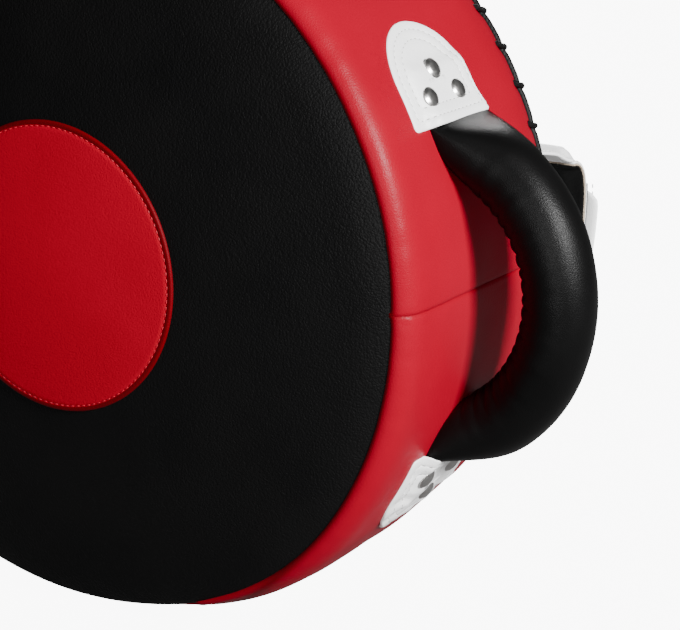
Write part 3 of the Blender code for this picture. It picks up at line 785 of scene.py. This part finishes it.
def tab(name, place, wrinkle, stands_for, tongue_at=-5 * MM):
    def spot(along, across, height):
        return place(along, across, drape(along, across, wrinkle, tongue_at) + height)

    bm = nested_sheet([(tombstone(inset * MM), height * MM) for inset, height in TAB_RINGS], spot)
    layer = bm.verts.layers.float.new("seam")
    for vert in bm.verts:
        vert[layer] = 0.0
    piece = finish_piece(name + "_leather", bm, WHITE, "pad", [stands_for])
    threads = thread_bmesh()
    lines = [tombstone(inset) for inset in ROWS]
    width = TAB_HALF - ROWS[0]
    lines.append([(TAB_START + CROSS_ROW, -width + 2 * width * step / 40) for step in range(41)])
    for line in lines:
        points = [spot(along, across, TAB_THICK - 0.3 * MM) for along, across in line]
        above = [spot(along, across, TAB_THICK + 0.7 * MM) for along, across in line]
        closed = line is not lines[-1]
        stitches(threads, along_line(points, above, 3.3 * MM, closed), 1.7 * MM, 0.27 * MM)
    finish_piece(name + "_thread", threads, SHADED_STITCH_THREAD, "pad")
    return piece


def along_line(points, above, pitch, closed):
    """Evenly spaced (middle, direction, up) along a line of points."""
    pairs = list(zip(points, above))
    if closed:
        pairs.append(pairs[0])
    lengths = [(b[0] - a[0]).length for a, b in zip(pairs, pairs[1:])]
    total = sum(lengths)
    count = max(int(total / pitch), 1)
    spots, walked, index = [], 0.0, 0
    for stitch in range(count):
        target = (stitch + 0.5) * total / count
        while walked + lengths[index] < target:
            walked += lengths[index]
            index += 1
        share = (target - walked) / lengths[index]
        (start, start_up), (end, end_up) = pairs[index], pairs[index + 1]
        middle = start.lerp(end, share)
        spots.append((middle, end - start, start_up.lerp(end_up, share) - middle))
    return spots


# %% [markdown]
# ## The rivets
# Each tab is held by three nickel cap rivets: a shallow dome with a rolled flange. The leather under a cap
# is squeezed, so the cap sits a little into it. The dome is a spun profile turned to the surface's normal.

# %% A cap rivet
CAP = [(0, 1.75), (1.0, 1.72), (2.1, 1.60), (3.1, 1.36), (3.85, 1.02), (4.3, 0.62), (4.6, 0.40), (4.85, 0.28),
       (4.95, 0.05), (4.8, -0.2), (4.2, -0.35), (0, -0.4)]


def rivet(name, foot, outward, stands_for):
    bm = spun([(radius * MM, rise * MM) for radius, rise in CAP], 28)
    turn = Vector((0, 0, 1)).rotation_difference(outward).to_matrix().to_4x4()
    bmesh.ops.transform(bm, matrix=Matrix.Translation(foot) @ turn, verts=bm.verts)
    finish_piece(name, bm, NICKEL, "pad", [stands_for])


# %% [markdown]
# ## The padded handles
# A handle is a straight tube of leather, stuffed with foam on a webbing core and bent into a bow. The
# leather is stretched smooth on the outside of the bend and has to shorten on the inside, so it gathers
# there in small puckers. Towards each tab the tube flattens into a wide tongue. The sleeve is a closed
# grid round a centreline: an arc, then a curve down to the wall. The puckers are narrow creases between
# rounded lobes, deepest on the inner side, with their spacing disturbed by noise.

# %% The handle's centreline
GRIP_RADIUS = 16.7 * MM
BEND = 67 * MM
BEND_ANGLE = math.radians(50)


def bezier(a, b, c, d, t):
    return (1 - t) ** 3 * a + 3 * (1 - t) ** 2 * t * b + 3 * (1 - t) * t**2 * c + t**3 * d


def handle_line(to_pad, reach, place):
    """Centres from under the lower tab, round the bow, to under the upper tab."""
    middle = reach - BEND
    arc = []
    for step in range(-60, 61):
        angle = BEND_ANGLE * step / 60
        arc.append(to_pad(middle + BEND * math.cos(angle), BEND * math.sin(angle)))
    halves = []
    for way in (-1, 1):
        bend_end = to_pad(middle + BEND * math.cos(BEND_ANGLE), way * BEND * math.sin(BEND_ANGLE))
        ahead = to_pad(middle + BEND * math.cos(BEND_ANGLE) - math.sin(BEND_ANGLE),
                       way * (BEND * math.sin(BEND_ANGLE) + math.cos(BEND_ANGLE))) - bend_end
        lift = 3.4 * MM
        foot = place(way * TAB_START, 0, lift)
        inner = place(way * (TAB_START + 7 * MM), 0, 2.0 * MM)
        pull = (foot - bend_end).length / 2.7
        approach = (foot - inner).normalized()
        leave, arrive = bend_end + ahead * pull, foot + approach * pull
        down = [bezier(bend_end, leave, arrive, foot, t / 30) for t in range(1, 31)]
        under = [foot.lerp(inner, t / 6) for t in range(1, 7)]
        for t in range(1, 13):
            under.append(place(way * (TAB_START + (7 + 21 * t / 12) * MM), 0, (2.0 - 0.4 * t / 12) * MM))
        halves.append([*down, *under])
    return [*reversed(halves[0]), *arc, *halves[1]]


def even_steps(points, step):
    """The same line with its points a fixed distance apart, and the line's whole length."""
    walked = [0.0]
    for first, second in zip(points, points[1:]):
        walked.append(walked[-1] + (second - first).length)
    count = round(walked[-1] / step)
    made, index = [], 0
    for number in range(count + 1):
        target = walked[-1] * number / count
        while index < len(points) - 2 and walked[index + 1] < target:
            index += 1
        span = walked[index + 1] - walked[index]
        made.append(points[index].lerp(points[index + 1], (target - walked[index]) / span))
    return made, walked[-1]


# %% [markdown]
# A sleeve is round along the bow and flat under its tabs. The leather is longer than the inside of the bend,
# so it folds there: each gather is a narrow crease that cuts into the round section, with an uneven pitch and
# depth.

# %% The sleeve with its gathers
FOAM_INSET = 72
grip_frames = {}


def sleeve(name, to_pad, place, reach, cross, body, stands_for, seed, shift=0.0, hinge=None):
    line, total = even_steps(handle_line(to_pad, reach, place), 0.8 * MM)
    hub = to_pad(reach - BEND, 0)
    frames = []
    under_tab = 28 * MM
    for index, centre in enumerate(line):
        ahead = (line[min(index + 1, len(line) - 1)] - line[max(index - 1, 0)]).normalized()
        out = cross.cross(ahead).normalized()
        if out.dot(centre - hub) < 0:
            out = -out
        frames.append((centre, out))
    grip_frames[body] = (frames[FOAM_INSET:-FOAM_INSET:3], cross)
    sides = 72

    def place_skin(u, v):
        index = round(u * (len(line) - 1))
        centre, out = frames[index]
        run = index / (len(line) - 1) * total
        from_tab = min(run, total - run) - under_tab
        swell = 1 - (1 - min(max(from_tab + 3 * MM, 0) / (40 * MM), 1)) ** 2.3
        thick = 1.0 * MM + (GRIP_RADIUS - 1.0 * MM) * swell
        wide = 22.8 * MM + (GRIP_RADIUS - 22.8 * MM) * ease(from_tab / (42 * MM))
        turn = math.tau * (round(v * sides) % sides) / sides
        flatness = 1 - ease(from_tab / (30 * MM))
        power = 1 - 0.35 * flatness
        cosine, sine = math.cos(turn), math.sin(turn)
        up = math.copysign(abs(cosine) ** power, cosine) * thick
        side = math.copysign(abs(sine) ** power, sine) * wide
        inward = max(-cosine, 0.0)
        warp = run + 2.2 * MM * noise.noise(Vector((run / (9 * MM), seed, sine * 0.4)))
        lobe = abs(math.sin(math.pi * warp / (7.4 * MM)))
        bow = ease((min(run, total - run) - under_tab - 12 * MM) / (26 * MM))
        depth = (1.25 + 0.8 * noise.noise(Vector((run / (13 * MM), seed + 4, 0)))) * MM * bow
        reach_in = ease((inward - 0.12) / 0.75)
        crease = depth * reach_in * (1 - lobe ** 0.6)
        creased = noise.noise(Vector((run / (5.5 * MM), sine * 1.4, seed)))
        wrinkle = 0.45 * MM * bow * bell(cosine + 0.15, 0.5) * creased
        soft = 0.5 * MM * noise.noise(Vector((run / (34 * MM), cosine * 0.9, sine * 0.9 + seed)))
        scale = 1 + (soft + wrinkle * (1 - flatness) - crease) / GRIP_RADIUS
        offset = side * scale * cross + up * scale * out
        return centre + offset + shift * (1 - ease(from_tab / (45 * MM))) * cross

    bm = sheet(len(line) - 1, sides, place_skin, close_columns=True)
    cap_ends(bm)
    piece = finish_piece(name, bm, GRIP_BLACK, None, stands_for)
    start, end = hinge
    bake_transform(piece)
    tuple(start)
    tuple(end)
    print(f"{name}: {total / MM:.0f} mm of sleeve")
    return piece


# %% [markdown]
# Both handles come from one function, mirrored. Three cap rivets go through each tab, on top of its drape.

# %% Both side handles with their tabs and rivets
TAB_FORWARD = 4.2 * MM


def side_handle(side, name, body, seed):
    def lowered(along):
        """The lower tab is sewn a little further from the seam than the upper one."""
        return along - 1 * MM - 3.6 * MM * ease((30 * MM - along) / (110 * MM))

    def place(along, across, height):
        return wall_point(side, lowered(along), across, height)

    def to_pad(out, along):
        return Vector((side * out, lowered(along), HANDLE_LEVEL))

    ends = [f"{name}_{part}_end" for part in ("upper", "lower")]
    sleeve(f"{name}_sleeve_leather", to_pad, place, 219.3 * MM, Vector((0, 0, 1)), body,
           [f"{name}_sleeve", *ends], seed, shift=-1.0 * MM,
           hinge=((side * 0.174, -HANDLE_LEVEL, 0), (side * 0.204, -HANDLE_LEVEL, 0)))
    for part, way, wrinkle, longer in (("upper", 1, 0.0, 0), ("lower", -1, 1.3, 1)):
        def tab_place(along, across, height, way=way, longer=longer):
            along += longer * (0.07 * (along - TAB_START) - 3.4 * MM)
            return place(way * along, across + TAB_FORWARD, height)

        full = f"{name}_{part}"
        tab(full + "_tab", tab_place, wrinkle, full + "_tab")
        for number, (along, across) in enumerate(((88.4, -12), (88.4, 12), (100.4, 0)), 1):
            along, across = along * MM, across * MM
            height = drape(along, across, wrinkle) + TAB_THICK
            foot = tab_place(along, across, height)
            outward = tab_place(along, across, height + MM) - foot
            rivet(f"{full}_rivet_{number}_cap", foot, outward.normalized(), f"{full}_rivet_{number}")


side_handle(1, "right_handle", "right_grip", 0.0)
side_handle(-1, "left_handle", "left_grip", 11.0)

# %% [markdown]
# ## The back
# The back panel is a flat disc of black leather, laced all round. The holder's hand takes a padded grip on
# the left, made the same way as the side handles, and the forearm goes through the strap on the right.


# %% The back panel and its hand grip
def back_relief(x, y):
    radius = math.hypot(x, y)
    angle = math.atan2(y, x)
    broad = 0.35 * MM * noise.noise(Vector((x / 0.07, y / 0.07, 9.0)))
    to_stitch = (angle / lace_pitch + 0.5) % 1 - 0.5
    dimple = 0.7 * MM * bell(to_stitch * lace_pitch * radius, 2.6 * MM) * bell(radius - 165.6 * MM, 2.6 * MM)
    return broad * ease((0.165 - radius) / 0.02) - dimple


rings = [168.0 * MM * step / 60 for step in range(60)] + [168.0 * MM, 169.0 * MM, 169.5 * MM]
bm = spun([(radius, -1.6 * MM * ease((radius - 166 * MM) / (3.5 * MM))) for radius in rings], 448)
for vert in bm.verts:
    vert.co.z = -0.05 * MM - vert.co.z - back_relief(vert.co.x, vert.co.y)
bmesh.ops.reverse_faces(bm, faces=bm.faces)
# Painted shade at the back panel's laced rim.
mark_seam(bm, lambda co: bell(math.hypot(co.x, co.y) - 169.4 * MM, 1.0 * MM))
settle(bm)
back = finish_piece("back_panel_leather", bm, BLACK, "pad", ["back_panel"], outwards=False)
thicken(back, 1.5 * MM)


def back_point(along, across, height):
    return Vector((GRIP_MIDDLE + across, along, -height))


def grip_to_pad(out, along):
    return Vector((GRIP_MIDDLE, along, -out))


sleeve("back_grip_sleeve_leather", grip_to_pad, back_point, 55 * MM, Vector((1, 0, 0)), "back_grip",
       ["back_grip_sleeve", "back_grip_upper_end", "back_grip_lower_end"], 23.0,
       hinge=((GRIP_MIDDLE, 0.008, 0), (GRIP_MIDDLE, 0.036, 0)))
for part, way in (("upper", 1), ("lower", -1)):
    def grip_tab_place(along, across, height, way=way):
        return back_point(way * along, across, height)

    full = f"back_grip_{part}"
    tab(full + "_tab", grip_tab_place, 0.0, full + "_tab", tongue_at=0.0)
    for number, across in ((1, -12 * MM), (2, 12 * MM)):
        height = drape(88.5 * MM, across, 0.0, tongue_at=0.0) + TAB_THICK
        foot = grip_tab_place(88.5 * MM, across, height)
        rivet(f"{full}_rivet_{number}_cap", foot, Vector((0, 0, -1)), f"{full}_rivet_{number}")

# %% [markdown]
# ## The forearm strap
# The strap is a flat white stub sewn to the panel, which carries a padded part: white leather outside,
# black lining inside, foam between, and a raw tan edge where the layers are sewn together. A second white
# strap comes from below and closes on it with hook-and-loop tape. Each layer is a band that follows the
# same side view, set off from it by its own distance, and the padded layers swell between their edges.

# %% The strap's side view
STRAP_HALF = 32.5 * MM
STRAP_LINE = [(1.3, 86), (1.3, 78), (1.3, 64), (1.3, 50), (5, 43.5), (15, 40.5), (34, 36), (54, 31.8),
              (66, 32), (75, 28), (80.5, 19), (82, 5), (80, -12), (75, -31)]
PER_SPAN = 6
strap_line = [point * MM for point in smooth_line(STRAP_LINE, PER_SPAN)]
PADDED_FROM = 8 * PER_SPAN - 2
FASTENED_FROM = -2 * PER_SPAN - 3


def beside(line, distance):
    """The side view moved sideways, away from the forearm where distance is positive."""
    moved = []
    for index, point in enumerate(line):
        ahead = (line[min(index + 1, len(line) - 1)] - line[max(index - 1, 0)]).normalized()
        moved.append(point + distance * Vector((-ahead.y, ahead.x)))
    return moved


def band(line, half, thickness, rise=None, round_ends=(0.0, 0.0), steps=28):
    """A strap: a rounded section, swept along a side view. rise(share along, w across) lifts its skin."""
    lengths = [0.0]
    for first, second in zip(line, line[1:]):
        lengths.append(lengths[-1] + (second - first).length)
    outside, inside = beside(line, thickness / 2), beside(line, -thickness / 2)
    across = [-1 + 2 * step / steps for step in range(steps + 1)]
    section = [(w, 1.0) for w in across[1:-1]]
    section = [(-0.985, 0.75), *section, (0.985, 0.75), (1.0, 0.0), (0.985, -0.75)]
    section += [(w, -1.0) for w in reversed(across[1:-1])] + [(-0.985, -0.75), (-1.0, 0.0)]
    count = len(section)

    def place(u, v):
        index = round(u * (len(line) - 1))
        w, layer = section[round(v * count) % count]
        start_gap, end_gap = lengths[index], lengths[-1] - lengths[index]
        narrow = 1.0
        for gap, length in zip((start_gap, end_gap), round_ends):
            if gap < length:
                narrow = min(narrow, max(math.sqrt(1 - (1 - gap / length) ** 2), 0.18))
        point = inside[index].lerp(outside[index], (layer + 1) / 2)
        if rise:
            ahead = (line[min(index + 1, len(line) - 1)] - line[max(index - 1, 0)]).normalized()
            point = point + rise(start_gap / lengths[-1], w) * Vector((-ahead.y, ahead.x))
        return Vector((STRAP_MIDDLE + w * half * narrow, point.y, -point.x))

    bm = sheet(len(line) - 1, count, place, close_columns=True)
    cap_ends(bm)
    return bm


def flat_seam(bm):
    mark_seam(bm, lambda co: 0.0)
    return bm


# %% [markdown]
# The stub comes off the panel and is sewn down on the start of the padded part. From there the white outside
# and the black lining swell away from each other, held together at their edges.

# %% Stub, padded part and lining
EDGE_OFFSET = -6.6 * MM
sewn_level = beside(strap_line, EDGE_OFFSET + 1.4 * MM)
stub = []
SEWN_DOWN_OVER = 7
for index in range(PADDED_FROM + 1):
    down = ease((index - PADDED_FROM + SEWN_DOWN_OVER) / SEWN_DOWN_OVER)
    stub.append(strap_line[index].lerp(sewn_level[index], down))
piece = finish_piece(
    "forearm_strap_stub_leather", flat_seam(band(stub, STRAP_HALF, 1.9 * MM, round_ends=(28 * MM, 0))),
    WHITE, "pad", ["forearm_strap_cover"],
)


def swell(height):
    """A lift that is nothing at the sewn edges and ends, and full between them."""
    def rise(share, w):
        fold = 0.35 * MM * noise.noise(Vector((share * 14, w * 2.2, 3.0))) * ease((1 - abs(w)) / 0.4)
        end = ease(min(share, 1 - share) / 0.09)
        return height * ease((0.93 - abs(w)) / 0.30) * end + fold

    return rise


piece = finish_piece(
    "forearm_strap_pad_leather",
    flat_seam(band(beside(strap_line, EDGE_OFFSET)[PADDED_FROM:], STRAP_HALF, 1.4 * MM, swell(6.2 * MM))),
    WHITE, "pad", ["forearm_strap_foam"],
)
finish_piece(
    "forearm_strap_lining_leather",
    flat_seam(band(beside(strap_line, EDGE_OFFSET - 2.0 * MM)[PADDED_FROM:], STRAP_HALF - 0.3 * MM, 1.0 * MM,
                   swell(-1.2 * MM))),
    LINING, "pad", ["forearm_strap_lining"],
)
finish_piece(
    "forearm_strap_edge",
    flat_seam(band(
        beside(strap_line, EDGE_OFFSET - 1.1 * MM)[PADDED_FROM:], STRAP_HALF + 0.35 * MM, 0.9 * MM,
    )),
    RAW_EDGE, "pad",
)


# %% [markdown]
# Hook-and-loop tape is a woven tape with a fuzzy or bristly face. At this size that reads as a fine dense
# noise, with the weave's ribs showing through.


# %% Tape and webbing
def woven(name, light, dark, ribs, roughness=0.85):
    material = bpy.data.materials.new(name)
    material.use_nodes = True
    tree = material.node_tree
    shader = tree.nodes["Principled BSDF"]
    place = node(tree, "ShaderNodeTexCoord").outputs["Object"]
    fuzz = node(tree, "ShaderNodeTexNoise", {"Vector": place, "Scale": 1800.0, "Detail": 3.0})
    rib = node(
        tree, "ShaderNodeTexWave", {"Vector": place, "Scale": ribs, "Distortion": 0.6}, bands_direction="Z",
    )
    height = math_node(tree, "ADD", fuzz.outputs["Fac"], math_node(tree, "MULTIPLY", rib.outputs["Fac"], 0.6))
    colour = node(
        tree, "ShaderNodeMix", {0: fuzz.outputs["Fac"], 6: (*dark, 1), 7: (*light, 1)}, data_type="RGBA",
    )
    bump = node(tree, "ShaderNodeBump", {"Height": height, "Strength": 0.7, "Distance": 0.0005})
    tree.links.new(colour.outputs[2], shader.inputs["Base Color"])
    tree.links.new(bump.outputs[0], shader.inputs["Normal"])
    shader.inputs["Roughness"].default_value = roughness
    shader.inputs["Sheen Weight"].default_value = 0.3
    return material


TAPE = woven("fastener_tape", (0.040, 0.040, 0.042), (0.012, 0.012, 0.012), 180)
WEBBING = woven("webbing", (0.06, 0.06, 0.06), (0.02, 0.02, 0.02), 240)


# %% [markdown]
# The loop tape is sewn on the padded part and the hook tape on the closure strap, which lies on it when it is
# closed.

# %% The closure strap and its tapes
def bow(height):
    return lambda share, w: -height * w * w * ease(share / 0.2)


loop_line = beside(strap_line, 1.9 * MM)[FASTENED_FROM:]
hook_line = beside(strap_line, 3.5 * MM)[FASTENED_FROM:]
finish_piece("loop_tape", band(loop_line, STRAP_HALF - 5 * MM, 1.1 * MM), TAPE, "pad",
             ["loop_fastener"])
finish_piece("hook_tape", band(hook_line, STRAP_HALF - 5 * MM, 1.1 * MM), TAPE, "closure",
             ["hook_fastener"])
tail = list(reversed(beside(strap_line, 5.4 * MM)[FASTENED_FROM:]))
anchor = [(1.3, -86), (1.3, -78), (1.3, -64), (1.3, -52), (3.2, -45.5), (9, -42.8), (26, -42), (50, -40.5),
          (67, -38.5), (76, -35)]
closure_line = [point * MM for point in smooth_line(anchor, PER_SPAN)]
closure_line += tail
closure = finish_piece(
    "closure_strap_leather",
    flat_seam(band(closure_line, STRAP_HALF, 1.9 * MM, round_ends=(28 * MM, 10 * MM))),
    WHITE, None, ["closure_strap", "closure_strap_tab"],
)
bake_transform(closure)


# %% [markdown]
# Straps are sewn along both sides. The stitches are small separate threads, set a fixed pitch apart.

# %% Threads along the straps
def strap_threads(name, line, half, lift, body, start=0, end=None):
    """A row of stitches down both sides of a strap."""
    bm = thread_bmesh()
    outer = beside(line, lift)[start:end]
    above = beside(line, lift + MM)[start:end]
    for side in (-1, 1):
        points = [Vector((STRAP_MIDDLE + side * half, p.y, -p.x)) for p in outer]
        tops = [Vector((STRAP_MIDDLE + side * half, p.y, -p.x)) for p in above]
        stitches(bm, along_line(points, tops, 3.6 * MM, False), 2.5 * MM, 0.35 * MM)
    return finish_piece(name, bm, WHITE_THREAD, body)


strap_threads("forearm_strap_stub_thread", stub, STRAP_HALF - 4 * MM, 1.05 * MM, "pad", start=2 * PER_SPAN,
              end=PADDED_FROM - 1)
strap_threads("forearm_strap_pad_thread", beside(strap_line, EDGE_OFFSET), STRAP_HALF - 1.6 * MM, 0.8 * MM,
              "pad", start=PADDED_FROM)
strap_threads("closure_strap_thread", closure_line, STRAP_HALF - 4 * MM, -1.05 * MM, "closure",
              start=6 * PER_SPAN + 2)

# %% The strap's rivets
for part, way in (("upper", 1), ("lower", -1)):
    for number, across in ((1, -15 * MM), (2, 15 * MM)):
        foot = Vector((STRAP_MIDDLE + across, way * 62 * MM, -2.3 * MM))
        name = f"forearm_strap_{part}_rivet_{number}"
        rivet(name + "_cap", foot, Vector((0, 0, -1)), name)

# %% [markdown]
# ## What stays of the frame
# The boards and the webbing inside keep their own solids, and the foam is made again to follow the leather.
# They are seen only when the leather is taken off, but each still gets the finish of its real material:
# foam with its cells, fibre board, webbing.


# %% Finishes for the inner pieces
def cellular(name, light, dark, cells):
    material = bpy.data.materials.new(name)
    material.use_nodes = True
    tree = material.node_tree
    shader = tree.nodes["Principled BSDF"]
    place = node(tree, "ShaderNodeTexCoord").outputs["Object"]
    cell = node(tree, "ShaderNodeTexVoronoi", {"Vector": place, "Scale": cells})
    colour = node(
        tree, "ShaderNodeMix", {0: cell.outputs["Distance"], 6: (*light, 1), 7: (*dark, 1)}, data_type="RGBA",
    )
    bump = node(
        tree, "ShaderNodeBump", {"Height": cell.outputs["Distance"], "Strength": 0.6, "Distance": 0.0006},
    )
    tree.links.new(colour.outputs[2], shader.inputs["Base Color"])
    tree.links.new(bump.outputs[0], shader.inputs["Normal"])
    shader.inputs["Roughness"].default_value = 0.9
    return material


FOAM = cellular("foam", (0.62, 0.61, 0.55), (0.40, 0.39, 0.35), 900)
BOARD = cellular("fibre_board", (0.13, 0.13, 0.14), (0.07, 0.07, 0.075), 1500)

# %% [markdown]
# The three foam layers are pressed flat below like the leather round them, so they are turned again from
# their profiles and settled the same way. Each keeps a small gap to the leather and to the next layer.

# %% The foam layers
FOAM_LAYERS = {
    "strike_foam": [(0, 146.0), (60, 144.0), (120, 137.5), (150, 131.5), (166, 125.0), (174, 117.0),
                    (174.5, 102.4), (0, 102.4)],
    "core_foam": [(0, 101.6), (174.5, 101.6), (173.5, 34.2), (0, 34.2)],
    "rear_foam": [(0, 33.4), (173.0, 33.4), (171.5, 20.0), (163.0, 7.8), (0, 7.8)],
}
for name, layer in FOAM_LAYERS.items():
    bm = spun([(radius * MM, level * MM) for radius, level in layer], 120)
    for vert in bm.verts:
        radius = math.hypot(vert.co.x, vert.co.y)
        angle = math.atan2(vert.co.y, vert.co.x)
        pressed = settled(WALL_RADIUS, angle, vert.co.z) * (radius / WALL_RADIUS) ** 2
        if radius > 1 * MM:
            vert.co.xy *= 1 + pressed / radius
    piece = finish_piece(name + "_layer", bm, FOAM, "pad", [name])

# %% [markdown]
# Each grip has a foam tube inside its sleeve. It follows the sleeve's own centreline, and is thin enough to
# stay under the deepest gather.

# %% The foam in the grips
FOAM_RADIUS = GRIP_RADIUS - 4.2 * MM
for name, body in (("right_handle", "right_grip"), ("left_handle", "left_grip"), ("back_grip", "back_grip")):
    line, cross = grip_frames[body]

    def place(u, v):
        centre, out = line[round(u * (len(line) - 1))]
        turn = math.tau * (round(v * 32) % 32) / 32
        return centre + FOAM_RADIUS * (math.cos(turn) * out + math.sin(turn) * cross)

    bm = sheet(len(line) - 1, 32, place, close_columns=True)
    cap_ends(bm)
    piece = finish_piece(name + "_foam_tube", bm, FOAM, body, [name + "_foam"])

# %% [markdown]
# Every other solid of the frame that still shows keeps its shape and only gets its finish.

# %% The pieces that stay
for name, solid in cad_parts.items():
    if solid.hide_render:
        continue
    finish = FOAM if "foam" in name else BOARD if "board" in name else WEBBING
    solid.data.materials.clear()
    solid.data.materials.append(finish)
    print("kept:", name, "in", finish.name)

# %% [markdown]
# ## Floor, light and camera
# The floor is plain and pale. One softbox stands to the right, a little in front and above, and throws the
# handle's shadow on the wall. A large dim panel in front fills the black face, another one behind shows the
# back, and the world fills the rest. The glow that the camera sees directly keeps floor and world pale
# without throwing light on the leather.

# %% The stage
GLOW = 9.0
floor_bm = bmesh.new()
bmesh.ops.create_grid(floor_bm, x_segments=1, y_segments=1, size=6)
floor_mesh = bpy.data.meshes.new("floor")
floor_bm.to_mesh(floor_mesh)
floor_bm.free()
floor = bpy.data.objects.new("floor", floor_mesh)
floor.location.z = -WALL_RADIUS + 10 * MM
bpy.context.scene.collection.objects.link(floor)


def glow_for_camera(tree, strength):
    """A value that is only there for what the camera sees directly."""
    direct = node(tree, "ShaderNodeLightPath").outputs["Is Camera Ray"]
    return math_node(tree, "MULTIPLY", direct, strength)


pale = bpy.data.materials.new("pale_floor")
pale.use_nodes = True
pale_shader = pale.node_tree.nodes["Principled BSDF"]
pale_shader.inputs["Base Color"].default_value = (0.16, 0.16, 0.16, 1)
pale_shader.inputs["Roughness"].default_value = 0.9
pale_shader.inputs["Specular IOR Level"].default_value = 0.0
pale_shader.inputs["Emission Color"].default_value = (1, 1, 1, 1)
pale.node_tree.links.new(glow_for_camera(pale.node_tree, GLOW), pale_shader.inputs["Emission Strength"])
floor_mesh.materials.append(pale)


def softbox(name, towards, distance, size, power, colour=(1, 1, 1)):
    """A square light, `distance` away from the drum's middle in a direction, aimed at it."""
    light = bpy.data.lights.new(name, "AREA")
    light.shape = "SQUARE"
    light.size = size
    light.energy = power
    light.color = colour
    lamp = bpy.data.objects.new(name, light)
    direction = Vector(towards).normalized()
    lamp.location = direction * distance + Vector((0, -0.06, 0))
    lamp.rotation_euler = direction.to_track_quat("Z", "Y").to_euler()
    bpy.context.scene.collection.objects.link(lamp)
    return lamp


softbox("key_light", (0.86, -0.20, 0.38), 2.4, 0.50, 165)
softbox("front_fill", (0.45, -0.9, 0.10), 2.6, 1.2, 34)
softbox("back_fill", (-0.6, 0.8, 0.5), 2.8, 1.4, 80)
world = bpy.data.worlds.new("studio")
world.use_nodes = True
backdrop = world.node_tree.nodes["Background"]
backdrop.inputs["Color"].default_value = (1, 1, 1, 1)
world_light = math_node(world.node_tree, "ADD", glow_for_camera(world.node_tree, GLOW), 0.07)
world.node_tree.links.new(world_light, backdrop.inputs["Strength"])
bpy.context.scene.world = world

# %% [markdown]
# The camera looks from the right, a little above, with a long lens, so the drum hardly tapers.

# %% The camera
camera_data = bpy.data.cameras.new("camera")
camera_data.lens = 158.82
camera_data.sensor_width = 36
camera_data.clip_end = 50
camera = bpy.data.objects.new("camera", camera_data)
ahead = Vector((-0.5363, 0.797, -0.2778)).normalized()
right = Vector((0.8302, 0.5575, -0.0033)).normalized()
above = right.cross(ahead).normalized()
right = ahead.cross(above)
camera.matrix_world = Matrix.Translation((0.8402, -1.1650, 0.3561)) @ Matrix(
    (right, above, -ahead)
).transposed().to_4x4()
bpy.context.scene.collection.objects.link(camera)
bpy.context.scene.camera = camera
print("camera at", [round(value, 3) for value in camera.location])
